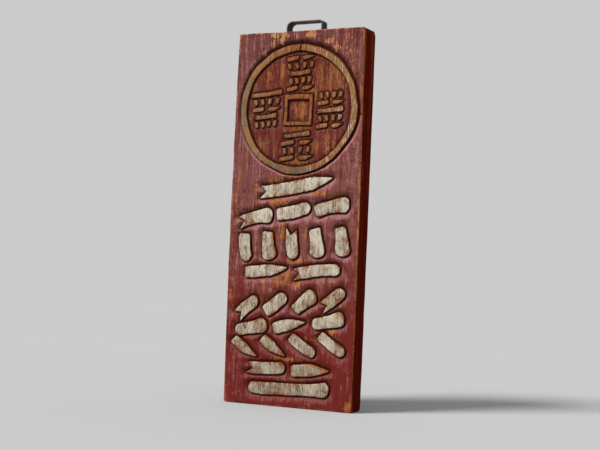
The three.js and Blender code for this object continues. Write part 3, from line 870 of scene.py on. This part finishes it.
def face_points(carving, border):
    """Points for the carved face: its border and the edges of the carving, then a filling.

    Returns the points and the loops that the border and the edges make.
    """
    outlines = carving.outlines()
    fixed = [border] + [outline for outline, _ in outlines]
    edges = np.vstack(fixed[1:])
    outwards = np.vstack([outward(outline) * side for outline, side in outlines])
    filling = np.vstack([edges + outwards * distance for distance, _ in EDGE_RINGS])
    distance, gap = np.repeat(EDGE_RINGS, len(edges), 0).T
    true = np.abs(carving.read(filling)["nearest"] - distance) < RING_SLACK * np.abs(distance)
    filling, gap = [filling[true]], [gap[true] * RING_ROOM]
    for spacing, room, raised in ((TOP_SPACING, TOP_ROOM, True), (GROUND_SPACING, GROUND_ROOM, False)):
        grid = hexagon_grid(border, spacing)
        grid = grid[(carving.read(grid)["nearest"] < TOP_MARGIN) == raised]
        filling.append(grid)
        gap.append(np.full(len(grid), spacing * room))
    filling, gap = np.vstack(filling), np.concatenate(gap)
    inside = signed_distance(filling, border) < -RIM_MARGIN
    starts = np.cumsum([0] + [len(p) for p in fixed])
    points = np.vstack((*fixed, filling[inside]))
    gap = np.concatenate((np.full(starts[-1], CLOSEST_POINTS), gap[inside]))
    loops = [np.arange(a, b) for a, b in zip(starts[:-1], starts[1:])]
    return points[thinned(points, starts[-1], gap)], loops


def surface(points, depth):
    """Board points (x, depth behind the face, z) from points (x, z) and their depths."""
    return np.stack((points[:, 0], depth, points[:, 1]), 1)


def plank_net(carving, plank):
    """The whole surface of the plank, before the slots are cut."""
    net = Net()
    loops = plank_loops(plank_rim(plank.corner_round / MM), carving, plank)
    points, faces, rim = triangles_inside(*face_points(carving, loops[0][:, (0, 2)]))
    net.add_corners(surface(points, flaws(points) - carved_height(points, carving.read(points))))
    net.add_faces(faces, Net.FRONT)
    net.corners[0][rim] = loops[0]
    for number, loop in enumerate(loops[1:]):
        following = net.add_corners(loop)
        step = np.abs(loop - np.roll(loop, -1, 0))
        level = (np.abs(loop[:, 2]) > HALF_HEIGHT - END_REACH) & (step[:, 2] < step[:, 0])
        kinds = Net.FRONT if number < FRONT_STRIPS else np.where(level, Net.END, Net.SIDE)
        quads = np.stack((rim, following, np.roll(following, -1), np.roll(rim, -1)), 1)
        net.add_faces(quads, kinds)
        rim = following
    outline = loops[-1][:, (0, 2)]
    grid = hexagon_grid(outline, BACK_SPACING)
    grid = grid[signed_distance(grid, outline) < -0.5 * BACK_SPACING]
    points, faces, edge = triangles_inside(np.vstack((outline, grid)), [np.arange(len(outline))])
    planed = worn_down(points, BACK_PLANED)
    planed *= smooth(-signed_distance(points, outline) / BACK_FADE)
    inner = np.setdiff1d(np.arange(len(points)), edge)
    numbers = np.empty(len(points), int)
    numbers[edge] = rim
    numbers[inner] = net.add_corners(surface(points, BOARD_THICKNESS + planed)[inner])
    net.add_faces(numbers[faces[:, ::-1]], Net.BACK)
    return net


def corners_of(mesh):
    """The corners of a mesh, one in a row."""
    corners = np.empty(len(mesh.vertices) * 3)
    mesh.vertices.foreach_get("co", corners)
    return corners.reshape(-1, 3)


def write_field(mesh, name, values):
    """Keeps one number for each corner of a mesh, for its finish to read."""
    field = mesh.attributes.new(name, "FLOAT", "POINT")
    field.data.foreach_set("value", np.asarray(values, dtype=np.float32))


def select_only(piece):
    """Makes a piece the only one selected, and the active one."""
    bpy.ops.object.select_all(action="DESELECT")
    piece.select_set(True)
    bpy.context.view_layer.objects.active = piece


def apply_modifiers(piece):
    """Applies a piece's modifiers in order."""
    select_only(piece)
    for modifier in list(piece.modifiers):
        bpy.ops.object.modifier_apply(modifier=modifier.name)


def shade(piece, crease):
    """Smooths a piece's shading, but for edges sharper than an angle."""
    select_only(piece)
    bpy.ops.object.shade_smooth_by_angle(angle=crease)


def new_block(add, name, place, size, finishes):
    """A plane or cube, added by an operator and given its size and finishes."""
    bpy.ops.object.select_all(action="DESELECT")
    add(size=1, location=place)
    block = bpy.context.active_object
    block.name = block.data.name = name
    block.scale = size
    bpy.ops.object.transform_apply(location=True, rotation=True, scale=True)
    for finish in finishes:
        block.data.materials.append(finish)
    return block


def carve_plank(plank, paint, iron):
    """Makes the carved plank and cuts the slots for the strap's legs in its top."""
    carving = Carving()
    net = plank_net(carving, plank)
    corners = np.vstack(net.corners) * MM + np.array((0, BOARD_LOW.y, BOARD_MIDDLE_Z))
    faces = [tuple(int(n) for n in face) for group in net.faces for face in group]
    side = side_stain_and_shade(paint)
    finishes = {Net.FRONT: face_paint(paint), Net.SIDE: side, Net.END: end_grain(paint), Net.BACK: side}
    mesh = bpy.data.meshes.new("carved_plank")
    for kind in sorted(finishes):
        mesh.materials.append(finishes[kind])
    mesh.from_pydata(corners.tolist(), [], faces)
    mesh.polygons.foreach_set("material_index", np.concatenate(net.kinds).astype(np.int32))
    mesh.update()
    piece = bpy.data.objects.new("carved_plank", mesh)
    bpy.context.collection.objects.link(piece)
    cut_slots(piece, plank, iron)
    write_plank_fields(piece.data, carving)
    shade(piece, PLANK_CREASE)
    return piece


def cut_slots(piece, plank, iron):
    """Cuts a slot in the plank's top for each leg of the strap."""
    room = plank.slot_gap
    low, high = IRON_LOW.z - room, BOARD_HIGH.z + SLOT_OVERSHOOT
    size = (iron.thickness + 2 * room, IRON_HIGH.y - IRON_LOW.y + 2 * room, high - low)
    cutters = []
    for x in (IRON_LOW.x + iron.thickness / 2, IRON_HIGH.x - iron.thickness / 2):
        place = (x, 0, (low + high) / 2)
        add = bpy.ops.mesh.primitive_cube_add
        cutter = new_block(add, "slot_cutter", place, size, piece.data.materials)
        for face in cutter.data.polygons:
            face.material_index = Net.END
        cut = piece.modifiers.new("slot", "BOOLEAN")
        cut.operation = "DIFFERENCE"
        cut.solver = "MANIFOLD"
        cut.object = cutter
        cutters.append(cutter)
    apply_modifiers(piece)
    for cutter in cutters:
        mesh = cutter.data
        bpy.data.objects.remove(cutter)
        bpy.data.meshes.remove(mesh)


def write_plank_fields(mesh, carving):
    """Keeps, for the finishes, how far each corner is from the carving and the plank's edges."""
    board = (corners_of(mesh) - np.array((0, BOARD_LOW.y, BOARD_MIDDLE_Z))) / MM
    points = board[:, (0, 2)]
    at_face = board[:, 1] < FACE_DEPTH
    seen = points[at_face]
    read = carving.read(seen)
    for name, values, elsewhere in (
        ("big", read["big"], carving.REACH),
        ("gilt", read["gilt"], carving.REACH),
        ("line", graded(read, LINE), 0.0),
        # Dirt with painted shade in the hollows round the raised forms, for the face paint.
        ("grime_and_shade", graded(read, GRIME_AND_SHADE), 0.0),
        # The slope of the face, kept for the painted highlight on upward slopes and the painted shade on
        # downward ones.
        ("slope_light", slope_light_share(seen, carving), 0.0),
        ("bare", worn_share(seen), 0.0),
        ("flaw", flaws(seen), 0.0),
        ("disc", read["in_disc"] > 0, 0.0),
    ):
        field = np.full(len(points), float(elsewhere))
        field[at_face] = values
        write_field(mesh, name, field)
    x, z = np.abs(points.T)
    rim = np.minimum(half_width(FACE_HALF_WIDTH, points[:, 1]) - x, HALF_HEIGHT - z)
    write_field(mesh, "arris", np.hypot(np.clip(rim, 0, FAR), np.clip(board[:, 1], 0, FAR)))


class Value:
    """A number that nodes work out, to be added, taken away and multiplied like any other."""

    def __init__(self, finish, socket):
        self.finish = finish
        self.socket = socket

    def math(self, how, other=0.0):
        """This number joined with another by a rule."""
        return Value(self.finish, self.finish.node("ShaderNodeMath", {0: self, 1: other}, operation=how))

    def __add__(self, other):
        return self.math("ADD", other)

    def __sub__(self, other):
        return self.math("SUBTRACT", other)

    def __rsub__(self, other):
        return self * -1.0 + other

    def __mul__(self, other):
        return self.math("MULTIPLY", other)

    def __abs__(self):
        return self.math("ABSOLUTE")

    __radd__ = __add__
    __rmul__ = __mul__

    def ranged(self, low, high, at_low, at_high, ease="LINEAR"):
        """This number moved from one range to another, and held within it."""
        return Value(self.finish, self.finish.node("ShaderNodeMapRange", {
            "Value": self, "From Min": low, "From Max": high, "To Min": at_low, "To Max": at_high,
        }, interpolation_type=ease))

    def band(self, low, high):
        """0 below low, 1 above high, eased between; low may be the greater."""
        return self.ranged(low, high, 0.0, 1.0, "SMOOTHSTEP")


def most(first, second):
    """The greater of two numbers."""
    return first.math("MAXIMUM", second)


class Finish:
    """One procedural finish, put together from nodes.

    Sizes along the board are in millimetres: x across, y behind the middle of the plank's
    thickness, and z up from the middle of the plank's height.
    """

    def __init__(self, name, **values):
        self.material = bpy.data.materials.new(name)
        self.material.use_nodes = True
        self.nodes = self.material.node_tree.nodes
        self.shader = self.nodes["Principled BSDF"]
        for socket, value in values.items():
            self.shader.inputs[socket.replace("_", " ")].default_value = value
        self.place = self.node("ShaderNodeMapping", {
            "Vector": self.node("ShaderNodeTexCoord", output="Object"),
            "Scale": (1 / MM,) * 3, "Location": (0, 0, -BOARD_MIDDLE_Z / MM),
        })
        split = self.nodes.new("ShaderNodeSeparateXYZ")
        self.put(self.place, split.inputs[0])
        self.x, self.y, self.z = (Value(self, socket) for socket in split.outputs)

    def put(self, value, socket):
        """Links a value to a socket, or sets the socket to a plain one."""
        if isinstance(value, Value):
            value = value.socket
        if isinstance(value, bpy.types.NodeSocket):
            self.material.node_tree.links.new(value, socket)
        else:
            socket.default_value = value

    def node(self, kind, inputs=None, output=0, **settings):
        """Adds a node, sets or links its inputs, and returns one of its outputs."""
        node = self.nodes.new(kind)
        for name, value in settings.items():
            setattr(node, name, value)
        for name, value in (inputs or {}).items():
            self.put(value, node.inputs[name])
        return node.outputs[output]

    def noise(self, across, deep, along, detail=3.0, seed=0, rough=0.55, twist=0.0, lean=0.0):
        """Random values about 0.5, in grains of the given sizes, leaning by some degrees."""
        vector = self.node("ShaderNodeMapping", {
            "Vector": self.place, "Scale": (1 / across, 1 / deep, 1 / along),
            "Rotation": (0, math.radians(lean), 0), "Location": [seed * way for way in SEED_SHIFT],
        })
        return Value(self, self.node("ShaderNodeTexNoise", {
            "Vector": vector, "Scale": 1.0, "Detail": detail, "Roughness": rough, "Distortion": twist,
        }))

    def flecks(self, *sizes, **settings):
        """The same random values, spread out to run from about -1 to 1."""
        return self.noise(*sizes, **settings).ranged(*SPREAD_RANGE, -1.0, 1.0)

    def field(self, name):
        """A number kept on the mesh."""
        return Value(self, self.node("ShaderNodeAttribute", output="Fac", attribute_name=name))

    def coats(self, colour, *coats):
        """A colour under further coats, each laid on by a share from 0 to 1."""
        for share, over in coats:
            under, over = (
                c if isinstance(c, bpy.types.NodeSocket) else (*c, 1.0) for c in (colour, over)
            )
            inputs = {MIX_SHARE: share, MIX_UNDER: under, MIX_OVER: over}
            colour = self.node("ShaderNodeMix", inputs, MIX_COLOUR, data_type="RGBA")
        return colour

    def bumps(self, *bumps):
        """Bumps over one another, each with its height and how far it stands out in metres."""
        normal = (0, 0, 0)
        for height, size in bumps:
            normal = self.node("ShaderNodeBump", {
                "Height": height, "Distance": size, "Strength": 1.0, "Normal": normal,
            })
        return normal

    def done(self, colour, roughness=None, normal=None):
        """Gives the shader its colour, roughness and bump, and returns the material."""
        for name, value in (("Base Color", colour), ("Roughness", roughness), ("Normal", normal)):
            if value is not None:
                self.put(value, self.shader.inputs[name])
        return self.material


def bare_wood(finish, paint):
    """Colour of bare wood, with its growth lines and fibres."""
    lines = finish.flecks(1.5, 5, 60, detail=4, seed=3, twist=0.4)
    fibres = finish.flecks(0.7, 1.5, 8, seed=4)
    spots = finish.flecks(9, 9, 16, seed=7)
    pale = (fibres - spots + lines).band(0.4, 1.5)
    bleached = finish.z.band(235, 290)
    return finish.coats(
        paint.wood,
        ((lines + 0.7 * fibres + spots).band(-0.6, 1.2), paint.wood_dark),
        (0.6 * finish.z.band(90, -290), paint.wood_dark),
        (0.45 * most(pale, bleached), paint.wood_pale),
    )


def face_paint(paint):
    """The carved face: worn maroon paint, cream strokes, gilded ring and small strokes."""
    finish = Finish("worn_face_paint", Specular_IOR_Level=0.06)
    marks = SimpleNamespace(
        grain=finish.flecks(2.6, 6, 38, detail=6, seed=1, rough=0.62),
        streaks=finish.flecks(6, 9, 80, detail=5, seed=2),
        patches=finish.flecks(24, 20, 34, detail=5, seed=5),
        clouds=finish.flecks(11, 12, 13, detail=5, seed=9),
        specks=finish.flecks(2.0, 2.0, 3.6, detail=4, seed=6),
        disc=finish.field("disc"),
        arris=finish.field("arris"),
        stroke=finish.field("big"),
        gilt=finish.field("gilt"),
    )
    wood = bare_wood(finish, paint)
    edge = marks.arris.band(7.0, 3.0) * finish.x.band(20, 90)
    stained = most(marks.disc, edge) * marks.streaks.band(1.2, -1.0)
    shown = worn_through(finish, marks)
    # Dirt with painted shade in the hollows round the raised forms and over the sunk disc.
    grime_and_shade = finish.field("grime_and_shade") + 0.10 * (marks.clouds + marks.specks)
    cream, cracks = cream_paint(finish, paint, marks, wood)
    line = finish.field("line") + 0.10 * (marks.specks + marks.grain)
    beside = marks.stroke.band(-0.25, 0.1) * marks.gilt.band(-0.25, 0.1)
    colour = finish.coats(
        maroon_paint(finish, paint, marks),
        (shown, finish.coats(wood, (0.55 * stained, paint.wood_dark))),
        (0.55 * grime_and_shade.band(0.12, 1.0), paint.groove),
        (marks.stroke.band(0.15, -0.15), cream),
        (marks.gilt.band(0.15, -0.15), old_gold(finish, paint, marks)),
        (line.band(0.30, 0.75) * beside, paint.groove),
        (finish.field("flaw").band(0.15, 0.6), paint.groove),
    )
    roughness = (marks.grain + marks.clouds).ranged(-1.4, 1.4, 0.72, 0.46)
    return finish.done(colour, roughness, finish.bumps(
        (marks.grain, 0.00022), (marks.specks, 0.00012), (cracks, -0.00025), (shown, -0.00015),
    ))


def maroon_paint(finish, paint, marks):
    """Old red-purple paint: greyer towards the top, redder below, streaked and rubbed pale, with a painted
    highlight on carved slopes that face up and painted shade on those that face down.
    """
    brushed = finish.flecks(26, 9, 2.4, seed=10)
    slope_light = finish.field("slope_light")
    blotches = marks.patches + marks.clouds
    high = (finish.z - 0.7 * finish.x + 70 * blotches).band(60, 330) * (1.0 - 0.75 * marks.disc)
    low = (finish.z + 60 * blotches).band(0, -200)
    corner = (finish.x + finish.z).band(250, 370)
    redder = (marks.streaks + 0.8 * marks.clouds - 0.35 * marks.disc).band(0.7, -1.0)
    # Pale rubbed bloom in random streaks, with a painted highlight added on slopes that face up.
    rubbed = marks.grain + 0.6 * marks.streaks + 0.5 * marks.specks + 0.5 * marks.clouds + 2.0 * slope_light
    # Dark flecks at random, with painted shade added on slopes that face down.
    dull_and_shaded = marks.grain + 0.5 * brushed + 0.7 * marks.specks + 0.5 * marks.patches + 1.2 * slope_light
    pale = rubbed.band(0.2, 1.3) * (0.78 - 0.50 * low - 0.45 * marks.disc - 0.40 * corner)
    return finish.coats(
        paint.maroon,
        (0.9 * high, paint.plum),
        (low, paint.brick),
        (redder * (0.38 + 0.50 * marks.disc + 0.4 * corner), paint.brick),
        (pale, paint.lilac_bloom_and_sheen),
        (dull_and_shaded.band(0.0, -1.4) * (0.7 - 0.4 * low), paint.groove),
    )


def worn_through(finish, marks):
    """How far the maroon paint is gone, from 0 to 1: in patches, in flecks and along the edges."""
    bare = finish.field("bare")
    blotches = marks.clouds + marks.patches
    broken = 0.42 * marks.grain + 0.30 * marks.specks + 0.26 * (marks.streaks + marks.clouds)
    patch = (0.9 * bare + 0.12 * marks.disc + broken).band(0.58, 0.82)
    fleck = (broken + 0.25 * marks.patches).band(0.50, 0.66)
    chips = finish.flecks(4.2, 4.0, 3.4, detail=6, seed=23, rough=0.68)
    chips = (0.62 * chips + 0.22 * blotches + 0.08 * marks.disc + 0.3 * bare).band(0.66, 0.82)
    loose = 0.35 + 0.55 * finish.z.band(-230, -90)
    edge = (marks.arris - 2.4 * broken - 0.4 * blotches).band(2.2, 1.1)
    return most(most(patch, edge), most(fleck, chips) * loose)


def cream_paint(finish, paint, marks, wood):
    """Off-white paint of the big strokes, and its cracks: greyed, crackled, worn at the edges."""
    mottled = finish.flecks(4.0, 4.0, 9.0, detail=6, seed=18, rough=0.7)
    blotches = marks.clouds + marks.patches
    dry = (marks.clouds + 0.8 * marks.patches).band(-0.7, 0.9)
    lines = abs(finish.noise(1.9, 4, 60, seed=8, twist=0.15) - 0.5).band(0.034, 0.010)
    pits = finish.flecks(1.5, 1.5, 2.8, seed=19, rough=0.7)
    pits = (pits + 0.45 * mottled + 0.45 * dry).band(0.80, 1.10)
    cracks = most(lines * (0.30 + 0.70 * dry), pits)
    smudge = (marks.grain + marks.clouds + 0.8 * mottled).band(0.9, 2.2)
    worn = (marks.stroke + 3.9 * blotches + 1.3 * (marks.specks + marks.grain)).band(-0.9, 0.5)
    cream = finish.coats(
        paint.cream,
        ((marks.patches + mottled - 0.004 * finish.z).band(-1.5, 1.7), paint.cream_shade),
        (0.45 * smudge, paint.slate),
        (0.85 * cracks, paint.crack),
        (0.92 * worn, wood),
    )
    return cream, cracks


def old_gold(finish, paint, marks):
    """Old gold: streaked brown, pale and olive to the sides, grey where it is lost."""
    fine = finish.flecks(2.2, 2.2, 17, detail=4, seed=17)
    streaked = marks.grain + 0.6 * marks.specks + 0.9 * fine
    darker = (marks.clouds + 0.6 * marks.specks).band(0.0, 1.2)
    turned = abs(finish.x + 30 * marks.patches).band(15, 85)
    light = (marks.patches + streaked + 0.008 * finish.z).band(2.7, 4.4)
    low = (finish.z + 0.9 * finish.x).band(190, 60)
    lost = (marks.clouds + marks.patches + 0.6 * marks.grain + 1.2 * low).band(0.6, 1.4)
    right = (finish.x + 35 * marks.patches).band(10, 90)
    scratches = finish.noise(1.9, 5, 15, detail=2.0, rough=0.5, lean=20).band(0.56, 0.65)
    worn = (marks.gilt + 0.5 * (marks.clouds + marks.specks + marks.grain)).band(-1.5, -0.2)
    return finish.coats(
        paint.gold,
        (0.92 * streaked.band(-0.1, 1.2), paint.gold_dark),
        (0.7 * darker, paint.gold_dark),
        (0.85 * turned, paint.olive),
        (0.55 * light, paint.wood_pale),
        (0.65 * lost, paint.slate),
        (scratches * (0.7 * right + 0.15), paint.cream),
        (0.7 * worn, paint.gold_dark),
    )


def side_stain_and_shade(paint):
    """The planed sides and the back: dark red stain, streaked along the wood, thinner behind; its colours
    are darkened as painted shade and reddened as a painted reflection of red surroundings.
    """
    finish = Finish("stained_and_shaded_side", Specular_IOR_Level=0.0)
    streaks = finish.flecks(5, 5.0, 110, detail=5, seed=11, rough=0.6)
    fine = finish.flecks(3, 2.6, 40, detail=4, seed=16)
    broad = finish.flecks(20, 8, 240, seed=12)
    arris = finish.field("arris")
    high = finish.z.band(-120, 290)
    brown = (broad + 0.7 * (streaks + fine)).band(0.3, 1.2)
    rubbed = (finish.y + 0.9 * (streaks + broad)).band(19.5, 22.5)
    colour = finish.coats(
        paint.side,
        ((streaks + 0.05 * finish.y).band(0.0, 1.4), paint.shaded_side_grey),
        (0.85 * (broad + fine).band(0.1, -1.0), paint.groove),
        (brown * (0.25 + 0.5 * high), paint.wood_dark),
        (0.7 * rubbed, paint.back),
        ((arris - 4.5 * (streaks + fine)).band(7.5, 0.0) * (0.15 + 0.45 * high), paint.wood),
        ((arris - 0.8 * (streaks + fine)).band(2.4, 1.0), bare_wood(finish, paint)),
    )
    roughness = streaks.ranged(-1.0, 1.0, 0.8, 0.5)
    return finish.done(colour, roughness, finish.bumps((streaks + 0.5 * fine, 0.0003)))


def end_grain(paint):
    """The sawn ends: the same stain over growth rings and saw marks."""
    finish = Finish("stained_end_grain", Specular_IOR_Level=0.2)
    pith_x, pith_y, ring_width = 30.0, 210.0, 3.1
    across, behind = finish.x - pith_x, finish.y - pith_y
    radius = (across * across + behind * behind).math("SQRT")
    wander = 5 * finish.noise(30, 30, 60, seed=13)
    ring = ((radius + wander) * (1 / ring_width)).math("FRACT")
    pores = finish.noise(0.7, 0.7, 3, detail=2, seed=14)
    patches = finish.noise(18, 18, 18, detail=4, seed=15)
    colour = finish.coats(
        # The ends start from the side colours, with their painted shade.
        paint.side,
        (pores.band(0.42, 0.60), paint.shaded_side_grey),
        (0.7 * patches.band(0.48, 0.70), paint.wood_dark),
        (0.4 * ring.band(0.6, 0.98), paint.groove),
    )
    return finish.done(colour, None, finish.bumps((pores, 0.0004), (ring, 0.0002)))


def strap_iron(iron):
    """Forged iron: dark scale, a rust film, and edges rubbed bare and lightened, partly as a painted
    highlight.
    """
    finish = Finish("forged_iron", Metallic=0.75, Specular_IOR_Level=0.5)
    mottled = finish.noise(3.5, 3.5, 3.5, detail=5, seed=21)
    pits = finish.noise(0.7, 0.7, 0.7, seed=22)
    bare = (finish.field("rub_and_highlight") + 1.1 * (pits - 0.5)).band(0.45, 0.85)
    colour = finish.coats(
        iron.scale_colour, (mottled.band(0.46, 0.62), iron.rust), (0.75 * bare, iron.bright),
    )
    roughness = mottled.ranged(0.0, 1.0, 0.42, 0.78)
    return finish.done(colour, roughness, finish.bumps((pits, 0.00025)))


def floor_cloth(stage):
    """The plain pale floor."""
    finish = Finish("pale_floor", Roughness=1.0, Specular_IOR_Level=0.0)
    clouds = finish.noise(600, 600, 600, detail=2, seed=31)
    little_darker = tuple(0.98 * part for part in stage.floor)
    return finish.done(finish.coats(stage.floor, (clouds, little_darker)))


def draw_on(way, times):
    """In edit mode, extrudes the selected section along a way in equal steps."""
    step = tuple(part / times for part in way)
    for _ in range(times):
        bpy.ops.mesh.extrude_region_move(TRANSFORM_OT_translate={"value": step})


def bend_on(x, z, steps):
    """In edit mode, bends the selected section through a quarter turn about a point."""
    bpy.ops.mesh.spin(steps=steps, angle=math.radians(90), center=(x, 0, z), axis=(0, -1, 0))


def bend_strap(iron):
    """Makes the strap from a flat section, drawn up, over and down through its two bends."""
    width = IRON_HIGH.y - IRON_LOW.y
    foot, top = IRON_LOW.z, IRON_HIGH.z
    left, right = IRON_LOW.x + iron.left_bend, IRON_HIGH.x - iron.right_bend
    strap = new_block(
        bpy.ops.mesh.primitive_plane_add, "iron_strap", (IRON_LOW.x + iron.thickness / 2, 0, foot),
        (iron.thickness, width, 1), [strap_iron(iron)],
    )
    bpy.ops.object.mode_set(mode="EDIT")
    bpy.ops.mesh.select_all(action="SELECT")
    rise, first, over, second, fall = STRAP_STEPS
    draw_on((0, 0, top - iron.left_bend - foot), rise)
    bend_on(left, top - iron.left_bend, first)
    draw_on((right - left, 0, 0), over)
    bend_on(right, top - iron.right_bend, second)
    draw_on((0, 0, foot - top + iron.right_bend), fall)
    bpy.ops.mesh.select_all(action="SELECT")
    bpy.ops.mesh.remove_doubles(threshold=STRAP_JOIN)
    bpy.ops.mesh.normals_make_consistent(inside=False)
    for share in STRAP_CUTS:
        bpy.ops.mesh.select_all(action="SELECT")
        bpy.ops.mesh.bisect(plane_co=(0, share * width, 0), plane_no=(0, 1, 0))
    bpy.ops.object.mode_set(mode="OBJECT")
    bevel = strap.modifiers.new("worn_edges", "BEVEL")
    bevel.width = iron.edge_round
    bevel.segments = 2
    bevel.limit_method = "ANGLE"
    bevel.angle_limit = STRAP_BEVEL_FROM
    apply_modifiers(strap)
    hammer_strap(strap.data)
    shade(strap, STRAP_CREASE)
    return strap


def hammer_strap(mesh):
    """Leaves the strap a little uneven, as forged, and notes how near each corner is to an edge."""
    corners = corners_of(mesh)
    x, y, z = corners.T / MM
    above = smooth((corners[:, 2] - BOARD_HIGH.z) / HAMMER_FADE)
    edge = IRON_HIGH.y - np.abs(corners[:, 1])
    corners[:, 1] *= 1 - above * (uneven(np.stack((x, z), 1), NARROWED) + NARROWED[0][0])
    corners[:, 2] += above * MM * worn_down(np.stack((x + z, y), 1), SUNK)
    mesh.vertices.foreach_set("co", corners.ravel())
    mesh.update()
    # How near each corner is to an edge, for the rubbed edges and their painted highlight.
    write_field(mesh, "rub_and_highlight", smooth(1 - edge / RUBBED_EDGE))


def lay_floor(stage):
    """A wide floor under the plank's lower end."""
    size = (stage.floor_size, stage.floor_size, 1)
    place = (0, 0, BOARD_LOW.z)
    floor = new_block(bpy.ops.mesh.primitive_plane_add, "floor", place, size, [floor_cloth(stage)])


def aim(thing, look, up=(0, 0, 1)):
    """Turns a light or camera to look along a direction."""
    forward = Vector(look).normalized()
    side = forward.cross(Vector(up)).normalized()
    turned = Matrix((side, side.cross(forward), -forward)).transposed()
    thing.matrix_world = Matrix.LocRotScale(thing.location, turned, None)


def light_stage(scene, stage):
    """A broad soft light from the upper left in front, and even light from all round."""
    world = bpy.data.worlds.new("pale_surroundings")
    world.use_nodes = True
    background = world.node_tree.nodes["Background"]
    background.inputs["Color"].default_value = (*stage.sky, 1)
    background.inputs["Strength"].default_value = stage.sky_strength
    scene.world = world
    light = bpy.data.lights.new("key", "SUN")
    light.energy = stage.key_strength
    light.angle = stage.key_softness
    key = bpy.data.objects.new("key", light)
    scene.collection.objects.link(key)
    aim(key, KEY_DIRECTION)
    scene.view_settings.view_transform = "Standard"


def place_camera(scene, stage):
    """The camera of the photograph: to the right of the face, a little below its middle."""
    data = bpy.data.cameras.new("camera")
    data.lens = stage.lens
    data.sensor_width = 36
    camera = bpy.data.objects.new("camera", data)
    scene.collection.objects.link(camera)
    camera.location = CAMERA_PLACE
    aim(camera, CAMERA_LOOK, CAMERA_UP)
    scene.camera = camera


class SIGN_OT_carved_plank(bpy.types.Operator):
    """Carve the plank with its ring, square frame and strokes, and paint it"""

    bl_idname = "sign.carved_plank"
    bl_label = "Carved plank"

    def execute(self, context):
        scene = context.scene
        piece = carve_plank(scene.sign_plank, scene.sign_paint, scene.sign_iron)
        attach(piece, "root")
        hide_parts("sign_board")
        return {"FINISHED"}


class SIGN_OT_iron_strap(bpy.types.Operator):
    """Bend the iron strap that the sign hangs by"""

    bl_idname = "sign.iron_strap"
    bl_label = "Iron strap"

    def execute(self, context):
        piece = bend_strap(context.scene.sign_iron)
        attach(piece, "root")
        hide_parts("iron_hanger")
        return {"FINISHED"}


class SIGN_OT_stage(bpy.types.Operator):
    """Lay the pale floor and set the lights and the camera"""

    bl_idname = "sign.stage"
    bl_label = "Stage"

    def execute(self, context):
        stage = context.scene.sign_stage
        lay_floor(stage)
        light_stage(context.scene, stage)
        place_camera(context.scene, stage)
        return {"FINISHED"}


class SIGN_PT_panel(bpy.types.Panel):
    """The sign's pieces and their settings"""

    bl_idname = "SIGN_PT_panel"
    bl_label = "Shop Sign"
    bl_space_type = "VIEW_3D"
    bl_region_type = "UI"
    bl_category = "Shop Sign"

    def draw(self, context):
        scene = context.scene
        for title, operator, settings in (
            ("Plank", "sign.carved_plank", (scene.sign_plank, scene.sign_paint)),
            ("Strap", "sign.iron_strap", (scene.sign_iron,)),
            ("Stage", "sign.stage", (scene.sign_stage,)),
        ):
            box = self.layout.box()
            box.label(text=title)
            for group in settings:
                for name in group.bl_rna.properties.keys():
                    if name not in ("rna_type", "name"):
                        box.prop(group, name)
            box.operator(operator)


SETTINGS = {
    "sign_plank": PlankSettings, "sign_paint": PaintSettings,
    "sign_iron": IronSettings, "sign_stage": StageSettings,
}
CLASSES = (
    *SETTINGS.values(), SIGN_OT_carved_plank, SIGN_OT_iron_strap, SIGN_OT_stage, SIGN_PT_panel,
)


def register():
    """Adds the settings, the operators and the panel."""
    for cls in CLASSES:
        bpy.utils.register_class(cls)
    for name, group in SETTINGS.items():
        setattr(bpy.types.Scene, name, bpy.props.PointerProperty(type=group))


def unregister():
    """Takes them away again."""
    for name in SETTINGS:
        delattr(bpy.types.Scene, name)
    for cls in reversed(CLASSES):
        bpy.utils.unregister_class(cls)


def main():
    """Makes every piece and the stage."""
    register()
    bpy.ops.sign.carved_plank()
    bpy.ops.sign.iron_strap()
    bpy.ops.sign.stage()


if __name__ == "__main__":
    main()
